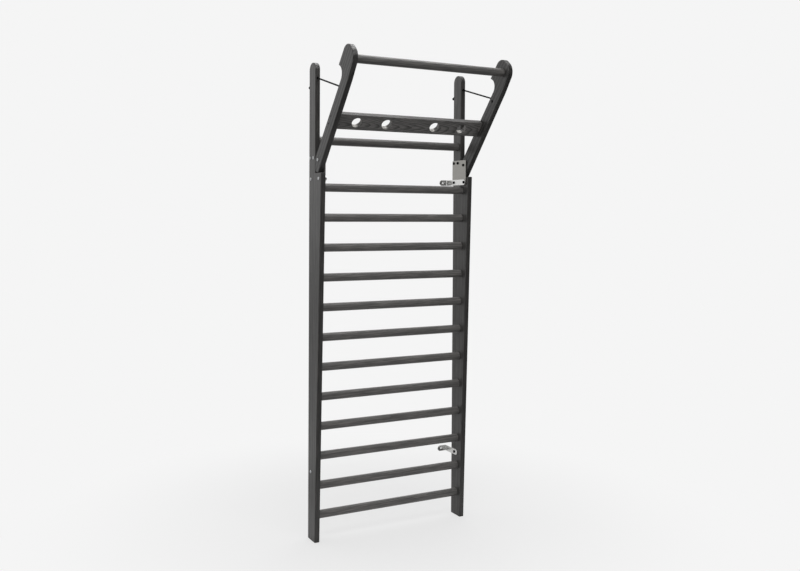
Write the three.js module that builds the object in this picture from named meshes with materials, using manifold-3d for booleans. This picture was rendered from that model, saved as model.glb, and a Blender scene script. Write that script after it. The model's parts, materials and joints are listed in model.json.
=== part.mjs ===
// Wall bars for a home or school gym: two stepped wooden uprights, round rungs and, above the shoulder of
// the uprights, a pull-up frame on two pivots. The frame folds up to the posts or leans out on two cables.
// Axes: X to the right, Y into the wall, Z up. The origin lies on the wall at floor level, mid-width.
// Lengths are in millimetres and angles in degrees. A depth runs forwards from the uprights' back edges.
import * as THREE from 'three';
import { mergeVertices } from 'three/addons/utils/BufferGeometryUtils.js';
import Module from 'manifold-3d';

const wasm = await Module();
wasm.setup();

// Clearances
const FIT_GAP = 0.3;
const ARM_POST_GAP = 3;
const ARM_SHOULDER_GAP = 3;
const CABLE_END_GAP = 1;

// Uprights
const STAND_OFF = 55;
const CLEAR_WIDTH = 768;
const BOARD_THICKNESS = 25;
const FOOT_DEPTH = 83;
const SHOULDER_DEPTH = 141;
const SHOULDER_RISE = 67;
const POST_DEPTH = 71;
const POST_RISE = 514;
const EDGE_ROUND = 3;

// Rungs: their axes follow the middle of the tapering uprights, given as a share of the depth there
const RUNG_COUNT = 12;
const RUNG_DIAMETER = 39;
const RUNG_PITCH = 140;
const FIRST_RUNG_HEIGHT = 119;
const FIRST_RUNG_SHARE = 0.494;
const LAST_RUNG_SHARE = 0.564;
const UPPER_RUNG_RISE = 153;
const SOCKET_DEPTH = 15;

// Pivot plates, one on the inner face of each upright, and the bolts through them
const PLATE_THICKNESS = 5;
const PLATE_BACK = 1;
const PLATE_FRONT = 127;
const PLATE_RISE = 84;
const PLATE_DROP = 42;
const PLATE_CORNER = 4;
const PLATE_FRONT_CORNER = 18;
const PIVOT_DEPTH = 104;
const PIVOT_RISE = 59;
const TOP_BOLT_RISE = 71;
const TOP_BOLT_DEPTHS = [15, 52];
const STRAP_BOLT_DROP = 27;
const STRAP_BOLT_DEPTHS = [23, 115];

// Pull-up frame: its arms are boards in the uprights' planes
const FOLD_ANGLE = 41;
const ARM_FRONT = 41.5;
const ARM_NECK_WIDTH = 62;
const HEAD_RADIUS = 51;
const HEAD_REACH = 65;
const HEAD_CORNER = 47;
const LIP_ROUND = 4;
const BAR_ABOVE_POST = 75;
const BAR_DEPTH = 78;
const BAR_DIAMETER = 38;
const HOOK_BOARD_THICKNESS = 25;
const HOOK_BOARD_HEIGHT = 81;
const HOOK_BOARD_RISE = 177;
const HOOK_BOARD_SETBACK = 31;
const HOOK_HOLE_DIAMETER = 47;
const HOOK_HOLE_INNER = 127;
const HOOK_HOLE_OUTER = 278;

// Wall brackets: flat straps bent to an L, with one leg on the upright and one on the wall
const STRAP_WIDTH = 28;
const STRAP_THICKNESS = 4;
const STRAP_BEND = 4;
const UPPER_STRAP_END = 11;
const LOWER_STRAP_END = 26;
const UPPER_WALL_LEG = 44;
const LOWER_WALL_LEG = 50;
const WALL_HOLE_DIAMETER = 8;
const WALL_HOLE_END = 19;
const LOWER_BRACKET_PITCHES = 1.5;
const LOWER_BRACKET_DROP = 5;
const LOWER_BOLT_DEPTH = 35.5;

// Bolts with button heads, and the sleeve nuts that take them from the outside. A head's flat top is a share
// of its diameter and its rim a share of its height.
const SHANK_DIAMETER = 6;
const BOLT_HEAD_DIAMETER = 14;
const BOLT_HEAD_HEIGHT = 4.2;
const BOLT_HEAD_TOP = 0.6;
const BOLT_KEY = 4;
const BOLT_END = 3;
const NUT_HEAD_DIAMETER = 15;
const NUT_HEAD_HEIGHT = 3;
const NUT_HEAD_TOP = 0.75;
const HEAD_RIM = 0.4;
const NUT_KEY = 6;
const NUT_WEB = 2;
const BARREL_DIAMETER = 9;
const BARREL_LENGTH = 16;
const KEY_DEPTH = 2.4;
const BUSH_WALL = 2;

// Stay cables: from a cross dowel in the arm, through a sloping hole in the post, to a sleeve behind it
const CABLE_DIAMETER = 8;
const CABLE_BEND = 20;
const CABLE_POST_DROP = 75;
const CABLE_POST_SLOPE = 20.5;
const CABLE_ARM_RISE = 382;
const DOWEL_DIAMETER = 14;
const DOWEL_INSET = 24;
const DOWEL_COVER = 5;
const DOWEL_SLOT = 2;
const FLARE_DIAMETER = 16;
const FLARE_DEPTH = 7;
const STOP_DIAMETER = 13;
const STOP_LENGTH = 30;
const STOP_SEAT = 3;

// Facets, how far a cutting tool reaches past the piece it cuts, and the distance at which two points are one
const RUNG_SIDES = 20;
const FASTENER_SIDES = 12;
const KEY_SIDES = 6;
const BORE_SIDES = 16;
const CABLE_SIDES = 8;
const CABLE_STEPS = 48;
const ARC_STEP = 15;
const OVERCUT = 20;
const SAME_POINT = 0.03;
const SAME_CORNER = 0.0001;

// Sizes that follow from the ones above
const halfWidth = CLEAR_WIDTH / 2;
const outerWidth = halfWidth + BOARD_THICKNESS;
const armInner = halfWidth + FIT_GAP;
const plateOuter = halfWidth - FIT_GAP;
const plateInner = plateOuter - PLATE_THICKNESS;
const lastRungHeight = FIRST_RUNG_HEIGHT + (RUNG_COUNT - 1) * RUNG_PITCH;
const shoulderHeight = lastRungHeight + SHOULDER_RISE;
const postHeight = shoulderHeight + POST_RISE;
const postRound = POST_DEPTH / 2;
const pivotHeight = shoulderHeight + PIVOT_RISE;
const strapBoltHeight = shoulderHeight - STRAP_BOLT_DROP;
const lowerBoltHeight = FIRST_RUNG_HEIGHT + LOWER_BRACKET_PITCHES * RUNG_PITCH - LOWER_BRACKET_DROP;
const foldAngle = THREE.MathUtils.degToRad(FOLD_ANGLE);
const shankBore = SHANK_DIAMETER / 2 + FIT_GAP;
const barrelBore = BARREL_DIAMETER / 2 + FIT_GAP;
const bushRadius = barrelBore + BUSH_WALL;
const cableBore = CABLE_DIAMETER / 2 + FIT_GAP;
const sides = [['left', -1], ['right', 1]];

// Sizes of the arms, in the folded pose and measured from the pivot: y towards the wall, z up
const armBack = PIVOT_DEPTH - POST_DEPTH - ARM_POST_GAP;
const barY = PIVOT_DEPTH - BAR_DEPTH;
const barZ = postHeight + BAR_ABOVE_POST - pivotHeight;
const notchY = PIVOT_DEPTH - postRound;
const notchZ = postHeight - postRound - pivotHeight;
const notchRadius = postRound + ARM_POST_GAP;
const dowelY = armBack - DOWEL_INSET;
const hookBoardFront = armBack - HOOK_BOARD_SETBACK;

const woodMaterial = { color: 0x3a3938, roughness: 0.6, metalness: 0 };
const steelMaterial = { color: 0x9b9a96, roughness: 0.35, metalness: 0.9 };
const blackSteelMaterial = { color: 0x1b1b1c, roughness: 0.45, metalness: 0.7 };
const zincMaterial = { color: 0xc9cacb, roughness: 0.25, metalness: 0.95 };
const bronzeMaterial = { color: 0x8a6b3f, roughness: 0.4, metalness: 0.9 };
const cableMaterial = { color: 0x333436, roughness: 0.4, metalness: 0.8 };

const wallBars = new THREE.Group();
const pullUpFrame = new THREE.Group();
pullUpFrame.position.set(0, yAt(PIVOT_DEPTH), pivotHeight);
pullUpFrame.rotation.x = foldAngle;
wallBars.add(pullUpFrame);

function yAt(depth) {
  return -STAND_OFF - depth;
}

function toSolid(geometry) {
  const bare = geometry.clone();
  bare.deleteAttribute('normal');
  bare.deleteAttribute('uv');
  const merged = mergeVertices(bare, SAME_CORNER);
  const corners = merged.index.array;
  const triangles = [];
  for (let i = 0; i < corners.length; i += 3) {
    const [a, b, c] = [corners[i], corners[i + 1], corners[i + 2]];
    if (a !== b && b !== c && c !== a) triangles.push(a, b, c);
  }
  const vertProperties = new Float32Array(merged.attributes.position.array);
  const triVerts = new Uint32Array(triangles);
  return new wasm.Manifold(new wasm.Mesh({ numProp: 3, vertProperties, triVerts }));
}

function toGeometry(solid) {
  const mesh = solid.getMesh();
  const geometry = new THREE.BufferGeometry();
  geometry.setAttribute('position', new THREE.BufferAttribute(mesh.vertProperties, 3));
  geometry.setIndex(new THREE.BufferAttribute(mesh.triVerts, 1));
  geometry.computeVertexNormals();
  return geometry;
}

function cut(geometry, tools) {
  return toGeometry(tools.reduce((solid, tool) => solid.subtract(toSolid(tool)), toSolid(geometry)));
}

function join(geometries) {
  return toGeometry(geometries.map(toSolid).reduce((whole, solid) => whole.add(solid)));
}

function addPiece(parent, name, geometry, material) {
  const mesh = new THREE.Mesh(geometry, new THREE.MeshStandardMaterial(material));
  mesh.name = name;
  parent.add(mesh);
  return mesh;
}

// A round bar along X at [y, z] of its axis
function barAcross(radius, fromX, toX, y, z, sideCount) {
  const bar = new THREE.CylinderGeometry(radius, radius, Math.abs(toX - fromX), sideCount);
  return bar.rotateZ(Math.PI / 2).translate((fromX + toX) / 2, y, z);
}

// A cone or round bar between two points
function coneBetween(from, to, fromRadius, toRadius, sideCount) {
  const along = to.clone().sub(from);
  const cone = new THREE.CylinderGeometry(toRadius, fromRadius, along.length(), sideCount);
  const up = new THREE.Vector3(0, 1, 0);
  const turn = new THREE.Quaternion().setFromUnitVectors(up, along.clone().normalize());
  return cone.applyQuaternion(turn).translate(...from.clone().add(to).divideScalar(2).toArray());
}

// Points along an arc, both ends included
function arc(y, z, radius, from, to) {
  const steps = Math.ceil(Math.abs(to - from) / THREE.MathUtils.degToRad(ARC_STEP));
  return Array.from({ length: steps + 1 }, (_, i) => {
    const angle = THREE.MathUtils.lerp(from, to, i / steps);
    return new THREE.Vector2(y + radius * Math.cos(angle), z + radius * Math.sin(angle));
  });
}

// A closed outline, without the points that fall on the one before
function outlineOf(points) {
  return new THREE.Shape(points.filter((point, i) => point.distanceTo(points.at(i - 1)) > SAME_POINT));
}

// An upright slab: the outline runs along a level direction and up, and the thickness goes to its right
function slab(outline, along, origin, thickness, edge) {
  const geometry = new THREE.ExtrudeGeometry(outline, {
    depth: thickness - 2 * edge,
    bevelEnabled: edge > 0,
    bevelThickness: edge,
    bevelSize: edge,
    bevelOffset: -edge,
    bevelSegments: 1,
  });
  const up = new THREE.Vector3(0, 0, 1);
  const placed = new THREE.Matrix4().makeBasis(along, up, along.clone().cross(up)).setPosition(origin);
  return geometry.translate(0, 0, edge).applyMatrix4(placed);
}

// A board with its outline in the YZ plane, between two values of X, with its edges rounded
function boardBetween(outline, fromX, toX, edge) {
  const origin = new THREE.Vector3(Math.min(fromX, toX), 0, 0);
  return slab(outline, new THREE.Vector3(0, 1, 0), origin, Math.abs(toX - fromX), edge);
}

// The depth of the tapering lower part of an upright
function uprightDepth(height) {
  return THREE.MathUtils.mapLinear(height, 0, shoulderHeight, FOOT_DEPTH, SHOULDER_DEPTH);
}

function rungDepth(index) {
  const height = FIRST_RUNG_HEIGHT + index * RUNG_PITCH;
  const share = THREE.MathUtils.lerp(FIRST_RUNG_SHARE, LAST_RUNG_SHARE, index / (RUNG_COUNT - 1));
  return uprightDepth(height) * share;
}

// Every rung between the uprights, with the upper one between the posts
function rungPlaces() {
  const places = [];
  for (let i = 0; i < RUNG_COUNT; i += 1) {
    const name = `rung_${String(i + 1).padStart(2, '0')}`;
    places.push({ name, y: yAt(rungDepth(i)), z: FIRST_RUNG_HEIGHT + i * RUNG_PITCH });
  }
  places.push({ name: 'upper_rung', y: yAt(postRound), z: shoulderHeight + UPPER_RUNG_RISE });
  return places;
}

// The bolts of one side that stay with the wall frame, with the inner face that each head rests on
function boltPlaces() {
  const strapOnPlate = plateInner - FIT_GAP - STRAP_THICKNESS;
  const strapOnUpright = plateOuter - STRAP_THICKNESS;
  const tops = TOP_BOLT_DEPTHS.map((depth, i) => ({
    name: `top_plate_bolt_${i + 1}`, depth, z: shoulderHeight + TOP_BOLT_RISE, seat: plateInner,
  }));
  const straps = STRAP_BOLT_DEPTHS.map((depth, i) => ({
    name: `strap_plate_bolt_${i + 1}`, depth, z: strapBoltHeight, seat: strapOnPlate,
  }));
  const lower = {
    name: 'lower_bracket_bolt', depth: LOWER_BOLT_DEPTH, z: lowerBoltHeight, seat: strapOnUpright,
  };
  return [...tops, ...straps, lower];
}

const pivotBolt = { name: 'pivot_bolt', depth: PIVOT_DEPTH, z: pivotHeight, seat: plateInner };

function uprightOutline() {
  return outlineOf([
    new THREE.Vector2(yAt(FOOT_DEPTH), 0),
    new THREE.Vector2(yAt(0), 0),
    ...arc(yAt(postRound), postHeight - postRound, postRound, 0, Math.PI),
    new THREE.Vector2(yAt(POST_DEPTH), shoulderHeight),
    new THREE.Vector2(yAt(SHOULDER_DEPTH), shoulderHeight),
  ]);
}

// The stepped hole of a bolt and its sleeve nut through an upright
function boltHole(bolt, side) {
  const y = yAt(bolt.depth);
  const [inside, outside] = [halfWidth - OVERCUT, outerWidth + OVERCUT].map((x) => side * x);
  const barrelEnd = side * (outerWidth - BARREL_LENGTH - FIT_GAP);
  return [
    barAcross(shankBore, inside, outside, y, bolt.z, FASTENER_SIDES),
    barAcross(barrelBore, barrelEnd, outside, y, bolt.z, FASTENER_SIDES),
  ];
}

// The point at a depth and height in the middle of one side's board
function sidePoint(side, depth, z) {
  return new THREE.Vector3(side * (halfWidth + BOARD_THICKNESS / 2), yAt(depth), z);
}

// The direction of the hole in the post, back and down towards the wall
function postHoleDirection() {
  const slope = THREE.MathUtils.degToRad(CABLE_POST_SLOPE);
  return new THREE.Vector3(0, Math.cos(slope), -Math.sin(slope));
}

function postMouth(side) {
  return sidePoint(side, POST_DEPTH, postHeight - CABLE_POST_DROP);
}

// Where the cable leaves the back edge of the post
function postExit(side) {
  const direction = postHoleDirection();
  return postMouth(side).addScaledVector(direction, POST_DEPTH / direction.y);
}

function postHoleCuts(side) {
  const direction = postHoleDirection();
  const mouth = postMouth(side);
  const exit = postExit(side);
  const before = mouth.clone().addScaledVector(direction, -OVERCUT);
  const past = exit.clone().addScaledVector(direction, OVERCUT);
  const seat = exit.clone().addScaledVector(direction, -STOP_SEAT - FIT_GAP);
  const seatRadius = STOP_DIAMETER / 2 + FIT_GAP;
  const flareEnd = mouth.clone().setY(mouth.y + FLARE_DEPTH).setZ(mouth.z + direction.z * FLARE_DEPTH);
  const flareStart = mouth.clone().setY(mouth.y - FIT_GAP);
  return [
    coneBetween(before, past, cableBore, cableBore, BORE_SIDES),
    coneBetween(flareStart, flareEnd, FLARE_DIAMETER / 2, cableBore, FASTENER_SIDES),
    coneBetween(seat, past, seatRadius, seatRadius, FASTENER_SIDES),
  ];
}

function makeUpright(side) {
  const socketRadius = RUNG_DIAMETER / 2 + FIT_GAP;
  const socketEnd = halfWidth + SOCKET_DEPTH;
  const sockets = rungPlaces().map(({ y, z }) => barAcross(
    socketRadius, side * (halfWidth - OVERCUT), side * socketEnd, y, z, RUNG_SIDES));
  const holes = boltPlaces().flatMap((bolt) => boltHole(bolt, side));
  const board = boardBetween(uprightOutline(), side * halfWidth, side * outerWidth, EDGE_ROUND);
  return cut(board, [...sockets, ...holes, ...postHoleCuts(side)]);
}

function makeRung(place) {
  const end = halfWidth + SOCKET_DEPTH - FIT_GAP;
  return barAcross(RUNG_DIAMETER / 2, -end, end, place.y, place.z, RUNG_SIDES);
}

function plateOutline() {
  const front = yAt(PLATE_FRONT);
  const back = yAt(PLATE_BACK) - PLATE_CORNER;
  const low = shoulderHeight - PLATE_DROP;
  const high = shoulderHeight + PLATE_RISE - PLATE_CORNER;
  const right = Math.PI / 2;
  const wide = PLATE_FRONT_CORNER;
  return outlineOf([
    ...arc(back, low + PLATE_CORNER, PLATE_CORNER, -right, 0),
    ...arc(back, high, PLATE_CORNER, 0, right),
    ...arc(front + PLATE_CORNER, high, PLATE_CORNER, right, 2 * right),
    ...arc(front + wide, low + wide, wide, 2 * right, 3 * right),
  ]);
}

function makePlate(side) {
  const plate = boardBetween(plateOutline(), side * plateInner, side * plateOuter, 0);
  const bolts = [...boltPlaces().filter(({ name }) => name.includes('plate')), pivotBolt];
  const holes = bolts.map(({ depth, z }) => barAcross(
    shankBore, side * (plateInner - OVERCUT), side * (plateOuter + OVERCUT), yAt(depth), z, FASTENER_SIDES));
  return cut(plate, holes);
}

// A strip of the strap with one round end, from the bend outwards
function stripOutline(length) {
  const half = STRAP_WIDTH / 2;
  return outlineOf([
    new THREE.Vector2(0, half),
    new THREE.Vector2(0, -half),
    ...arc(length - half, 0, half, -Math.PI / 2, Math.PI / 2),
  ]);
}

// The right-hand bracket about the strap's mid-height, with its side leg against the face at seatX
function makeBracket(seatX, boltDepths, sideEnd, wallReach) {
  const outerX = seatX - FIT_GAP;
  const innerX = outerX - STRAP_THICKNESS;
  const bendX = innerX - STRAP_BEND;
  const bendY = -STRAP_THICKNESS - STRAP_BEND;
  const sideLength = bendY - yAt(Math.max(...boltDepths) + sideEnd);
  const wallLength = wallReach - STRAP_THICKNESS - STRAP_BEND;
  const sideLeg = slab(stripOutline(sideLength), new THREE.Vector3(0, -1, 0),
    new THREE.Vector3(outerX, bendY, 0), STRAP_THICKNESS, 0);
  const wallLeg = slab(stripOutline(wallLength), new THREE.Vector3(-1, 0, 0),
    new THREE.Vector3(bendX, -STRAP_THICKNESS, 0), STRAP_THICKNESS, 0);
  const bend = outlineOf([
    ...arc(bendX, bendY, STRAP_BEND + STRAP_THICKNESS, 0, Math.PI / 2),
    ...arc(bendX, bendY, STRAP_BEND, Math.PI / 2, 0),
  ]);
  const corner = new THREE.ExtrudeGeometry(bend, { depth: STRAP_WIDTH, bevelEnabled: false });
  corner.translate(0, 0, -STRAP_WIDTH / 2);
  const boltHoles = boltDepths.map((depth) => barAcross(
    shankBore, innerX - OVERCUT, outerX + OVERCUT, yAt(depth), 0, FASTENER_SIDES));
  const wallHoleX = outerX - wallReach + WALL_HOLE_END;
  const wallHole = coneBetween(
    new THREE.Vector3(wallHoleX, -OVERCUT, 0), new THREE.Vector3(wallHoleX, OVERCUT, 0),
    WALL_HOLE_DIAMETER / 2, WALL_HOLE_DIAMETER / 2, FASTENER_SIDES);
  return cut(join([sideLeg, corner, wallLeg]), [...boltHoles, wallHole]);
}

// A turned fastener along +X from a profile of [radius, x], with a six-sided key hole from keyFrom to keyTo
function turned(profile, keyAcross, keyFrom, keyTo) {
  const points = profile.map(([radius, x]) => new THREE.Vector2(radius, x));
  const body = new THREE.LatheGeometry(points, FASTENER_SIDES).rotateZ(-Math.PI / 2);
  const keyRadius = keyAcross / 2 / Math.cos(Math.PI / KEY_SIDES);
  return cut(body, [barAcross(keyRadius, keyFrom, keyTo, 0, 0, KEY_SIDES)]);
}

// A bolt with its head's seat at x = 0 and its shank along +X
function makeBolt(length) {
  const head = BOLT_HEAD_DIAMETER / 2;
  const shank = SHANK_DIAMETER / 2;
  const top = -BOLT_HEAD_HEIGHT;
  const profile = [
    [0, top], [head * BOLT_HEAD_TOP, top], [head, top * HEAD_RIM], [head, 0],
    [shank, 0], [shank, length], [0, length],
  ];
  return turned(profile, BOLT_KEY, top - OVERCUT, top + KEY_DEPTH);
}

// A sleeve nut with its head's seat at x = 0 and its barrel along -X
function makeNut() {
  const head = NUT_HEAD_DIAMETER / 2;
  const barrel = BARREL_DIAMETER / 2;
  const top = NUT_HEAD_HEIGHT;
  const profile = [
    [0, -NUT_WEB], [shankBore, -NUT_WEB], [shankBore, -BARREL_LENGTH], [barrel, -BARREL_LENGTH], [barrel, 0],
    [head, 0], [head, top * HEAD_RIM], [head * NUT_HEAD_TOP, top], [0, top],
  ];
  return turned(profile, NUT_KEY, top - KEY_DEPTH, top + OVERCUT);
}

// A bolt from the inside and its sleeve nut from the outside, in their place on one side
function addFastener(parent, sideName, side, bolt) {
  const seatX = bolt.seat - FIT_GAP;
  const nutX = outerWidth + FIT_GAP;
  const pieces = [
    addPiece(parent, `${sideName}_${bolt.name}`, makeBolt(nutX - seatX - BOLT_END), blackSteelMaterial),
    addPiece(parent, `${sideName}_${bolt.name.replace('bolt', 'nut')}`, makeNut(), zincMaterial),
  ];
  pieces.forEach((piece, i) => {
    piece.position.set(side * [seatX, nutX][i], yAt(bolt.depth), bolt.z);
    piece.rotation.z = side > 0 ? 0 : Math.PI;
  });
}

// The point where a line from start through towards leaves the circle about the pivot
function lineMeetsCircle(start, towards, radius) {
  const along = towards.clone().sub(start).normalize();
  const middle = -start.dot(along);
  const nearest = start.clone().addScaledVector(along, middle);
  return nearest.addScaledVector(along, Math.sqrt(radius ** 2 - nearest.lengthSq()));
}

// Folded outline of an arm: shank, head round the post's top, and a heel that turns above the shoulder
function armOutline() {
  const heelRadius = PIVOT_RISE - ARM_SHOULDER_GAP;
  const headBack = barY + HEAD_REACH;
  const headTop = barZ + HEAD_RADIUS;
  const lipY = headBack - LIP_ROUND;
  const lipZ = notchZ + Math.sqrt((notchRadius + LIP_ROUND) ** 2 - (lipY - notchY) ** 2);
  const lipAngle = Math.atan2(lipZ - notchZ, lipY - notchY);
  const neck = new THREE.Vector2(armBack - ARM_NECK_WIDTH, notchZ + notchRadius);
  const toNeck = neck.clone().sub(new THREE.Vector2(barY, barZ));
  const headEnd = toNeck.angle() - Math.acos(HEAD_RADIUS / toNeck.length());
  const heelFront = lineMeetsCircle(neck, new THREE.Vector2(-ARM_FRONT, 0), heelRadius);
  const heelStart = heelFront.angle() - 2 * Math.PI;
  const heelEnd = -foldAngle - Math.acos(armBack / heelRadius);
  const right = Math.PI / 2;
  return outlineOf([
    ...arc(notchY, notchZ, notchRadius, 2 * right, lipAngle),
    ...arc(lipY, lipZ, LIP_ROUND, lipAngle - 2 * right, 0),
    ...arc(headBack - HEAD_CORNER, headTop - HEAD_CORNER, HEAD_CORNER, 0, right),
    ...arc(barY, barZ, HEAD_RADIUS, right, headEnd),
    neck,
    ...arc(0, 0, heelRadius, heelStart, heelEnd),
    ...arc(0, 0, armBack, -foldAngle, 0),
  ]);
}

function makeArm(side) {
  const x = side * (halfWidth + BOARD_THICKNESS / 2);
  const inside = side * (armInner - OVERCUT);
  const outside = side * (outerWidth + OVERCUT);
  const socketEnd = side * (armInner + SOCKET_DEPTH);
  const dowelEnd = side * (outerWidth - DOWEL_COVER);
  const bore = new THREE.Vector3(x, dowelY, CABLE_ARM_RISE);
  const mouth = new THREE.Vector3(x, armBack, CABLE_ARM_RISE);
  const flareEnd = mouth.clone().setY(armBack - FLARE_DEPTH);
  const flareStart = mouth.clone().setY(armBack + FIT_GAP);
  const past = mouth.clone().setY(armBack + OVERCUT);
  const board = boardBetween(armOutline(), side * armInner, side * outerWidth, EDGE_ROUND);
  return cut(board, [
    barAcross(BAR_DIAMETER / 2 + FIT_GAP, inside, socketEnd, barY, barZ, RUNG_SIDES),
    barAcross(bushRadius + FIT_GAP, inside, outside, 0, 0, FASTENER_SIDES),
    barAcross(DOWEL_DIAMETER / 2 + FIT_GAP, inside, dowelEnd, dowelY, CABLE_ARM_RISE, FASTENER_SIDES),
    coneBetween(bore, past, cableBore, cableBore, BORE_SIDES),
    coneBetween(flareStart, flareEnd, FLARE_DIAMETER / 2, cableBore, FASTENER_SIDES),
  ]);
}

function makePullUpBar() {
  const end = armInner + SOCKET_DEPTH - FIT_GAP;
  return barAcross(BAR_DIAMETER / 2, -end, end, barY, barZ, RUNG_SIDES);
}

// A board between the arms, with holes for hanging straps and hooks
function makeHookBoard() {
  const end = halfWidth - FIT_GAP;
  const middle = HOOK_BOARD_HEIGHT / 2;
  const outline = new THREE.Shape([[-end, -middle], [end, -middle], [end, middle], [-end, middle]]
    .map(([x, z]) => new THREE.Vector2(x, z)));
  for (const x of [-HOOK_HOLE_OUTER, -HOOK_HOLE_INNER, HOOK_HOLE_INNER, HOOK_HOLE_OUTER]) {
    outline.holes.push(new THREE.Path(arc(x, 0, HOOK_HOLE_DIAMETER / 2, 0, 2 * Math.PI).slice(1)));
  }
  const origin = new THREE.Vector3(0, hookBoardFront + HOOK_BOARD_THICKNESS, HOOK_BOARD_RISE + middle);
  return slab(outline, new THREE.Vector3(1, 0, 0), origin, HOOK_BOARD_THICKNESS, EDGE_ROUND);
}

// A bush in the arm that turns on the barrel of the pivot's nut
function makeBush(side) {
  const length = outerWidth - armInner - 2 * FIT_GAP;
  const profile = [
    [barrelBore, 0], [bushRadius, 0], [bushRadius, length], [barrelBore, length], [barrelBore, 0],
  ];
  const points = profile.map(([radius, x]) => new THREE.Vector2(radius, x));
  const bush = new THREE.LatheGeometry(points, FASTENER_SIDES).rotateZ(-Math.PI / 2);
  const start = side > 0 ? armInner + FIT_GAP : -outerWidth + FIT_GAP;
  return toGeometry(toSolid(bush.translate(start, 0, 0)));
}

// A cross dowel that holds the cable's end in the arm, with a slot for a screwdriver in its inner end
function makeDowel(side) {
  const x = side * (halfWidth + BOARD_THICKNESS / 2);
  const inner = armInner + FIT_GAP;
  const outer = outerWidth - DOWEL_COVER - FIT_GAP;
  const dowel = barAcross(
    DOWEL_DIAMETER / 2, side * inner, side * outer, dowelY, CABLE_ARM_RISE, FASTENER_SIDES);
  const slot = new THREE.BoxGeometry(DOWEL_SLOT * 2, DOWEL_DIAMETER * 2, DOWEL_SLOT);
  slot.translate(side * inner, dowelY, CABLE_ARM_RISE);
  const centre = new THREE.Vector3(x, dowelY - cableBore, CABLE_ARM_RISE);
  const past = new THREE.Vector3(x, dowelY + OVERCUT, CABLE_ARM_RISE);
  return cut(dowel, [slot, coneBetween(centre, past, cableBore, cableBore, BORE_SIDES)]);
}

// A place on the pull-up frame, given as on the arm, in the pose where the frame leans out
function leaningPoint(x, y, z) {
  return new THREE.Vector3(x, y, z).applyMatrix4(pullUpFrame.matrix);
}

// A path along straight runs whose corners are rounded
function roundedPath(corners, radius) {
  const path = new THREE.CurvePath();
  let from = corners[0];
  for (let i = 1; i < corners.length - 1; i += 1) {
    const before = corners[i - 1].clone().sub(corners[i]).normalize();
    const after = corners[i + 1].clone().sub(corners[i]).normalize();
    const reach = radius / Math.tan(before.angleTo(after) / 2);
    const bendStart = corners[i].clone().addScaledVector(before, reach);
    const bendEnd = corners[i].clone().addScaledVector(after, reach);
    path.add(new THREE.LineCurve3(from, bendStart));
    path.add(new THREE.QuadraticBezierCurve3(bendStart, corners[i], bendEnd));
    from = bendEnd;
  }
  path.add(new THREE.LineCurve3(from, corners[corners.length - 1]));
  return path;
}

function makeCable(side) {
  const x = side * (halfWidth + BOARD_THICKNESS / 2);
  const corners = [
    leaningPoint(x, dowelY, CABLE_ARM_RISE),
    leaningPoint(x, armBack, CABLE_ARM_RISE),
    postMouth(side),
    postExit(side).addScaledVector(postHoleDirection(), STOP_LENGTH - STOP_SEAT - CABLE_END_GAP),
  ];
  const section = new THREE.Shape();
  for (let i = 0; i < CABLE_SIDES; i += 1) {
    const angle = (i / CABLE_SIDES) * 2 * Math.PI;
    const [u, v] = [Math.cos(angle), Math.sin(angle)].map((part) => part * (CABLE_DIAMETER / 2));
    if (i === 0) section.moveTo(u, v);
    else section.lineTo(u, v);
  }
  section.closePath();
  const path = roundedPath(corners, CABLE_BEND);
  const cable = new THREE.ExtrudeGeometry(section, {
    steps: CABLE_STEPS, extrudePath: path, bevelEnabled: false,
  });
  return toGeometry(toSolid(cable));
}

// A crimped sleeve on the cable's end, seated in the back edge of the post
function makeStop(side) {
  const direction = postHoleDirection();
  const start = postExit(side).addScaledVector(direction, -STOP_SEAT);
  const end = start.clone().addScaledVector(direction, STOP_LENGTH);
  const before = start.clone().addScaledVector(direction, -OVERCUT);
  const past = end.clone().addScaledVector(direction, OVERCUT);
  const sleeve = coneBetween(start, end, STOP_DIAMETER / 2, STOP_DIAMETER / 2, FASTENER_SIDES);
  return cut(sleeve, [coneBetween(before, past, cableBore, cableBore, BORE_SIDES)]);
}

pullUpFrame.updateMatrix();
for (const place of rungPlaces()) addPiece(wallBars, place.name, makeRung(place), woodMaterial);
for (const [name, side] of sides) {
  addPiece(wallBars, `${name}_upright`, makeUpright(side), woodMaterial);
  addPiece(wallBars, `${name}_pivot_plate`, makePlate(side), steelMaterial);
  const onPlate = makeBracket(plateInner, STRAP_BOLT_DEPTHS, UPPER_STRAP_END, UPPER_WALL_LEG);
  const onUpright = makeBracket(halfWidth, [LOWER_BOLT_DEPTH], LOWER_STRAP_END, LOWER_WALL_LEG);
  const upper = addPiece(wallBars, `${name}_upper_wall_bracket`, onPlate, steelMaterial);
  const lower = addPiece(wallBars, `${name}_lower_wall_bracket`, onUpright, steelMaterial);
  upper.position.z = strapBoltHeight;
  lower.position.z = lowerBoltHeight;
  for (const bracket of [upper, lower]) bracket.rotation.y = side > 0 ? 0 : Math.PI;
  for (const bolt of [...boltPlaces(), pivotBolt]) addFastener(wallBars, name, side, bolt);
  addPiece(wallBars, `${name}_stay_cable`, makeCable(side), cableMaterial);
  addPiece(wallBars, `${name}_cable_stop`, makeStop(side), blackSteelMaterial);
  addPiece(pullUpFrame, `${name}_arm`, makeArm(side), woodMaterial);
  addPiece(pullUpFrame, `${name}_pivot_bush`, makeBush(side), bronzeMaterial);
  addPiece(pullUpFrame, `${name}_cable_dowel`, makeDowel(side), blackSteelMaterial);
}
addPiece(pullUpFrame, 'pull_up_bar', makePullUpBar(), woodMaterial);
addPiece(pullUpFrame, 'hook_board', makeHookBoard(), woodMaterial);

export default wallBars;
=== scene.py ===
"""Finish of a set of wall bars with a pull-up frame that folds out, laid out as an add-on.

Lengths are in metres and angles in radians. X is to the right, Y into the wall and Z up.
"""
import json
import math

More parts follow.
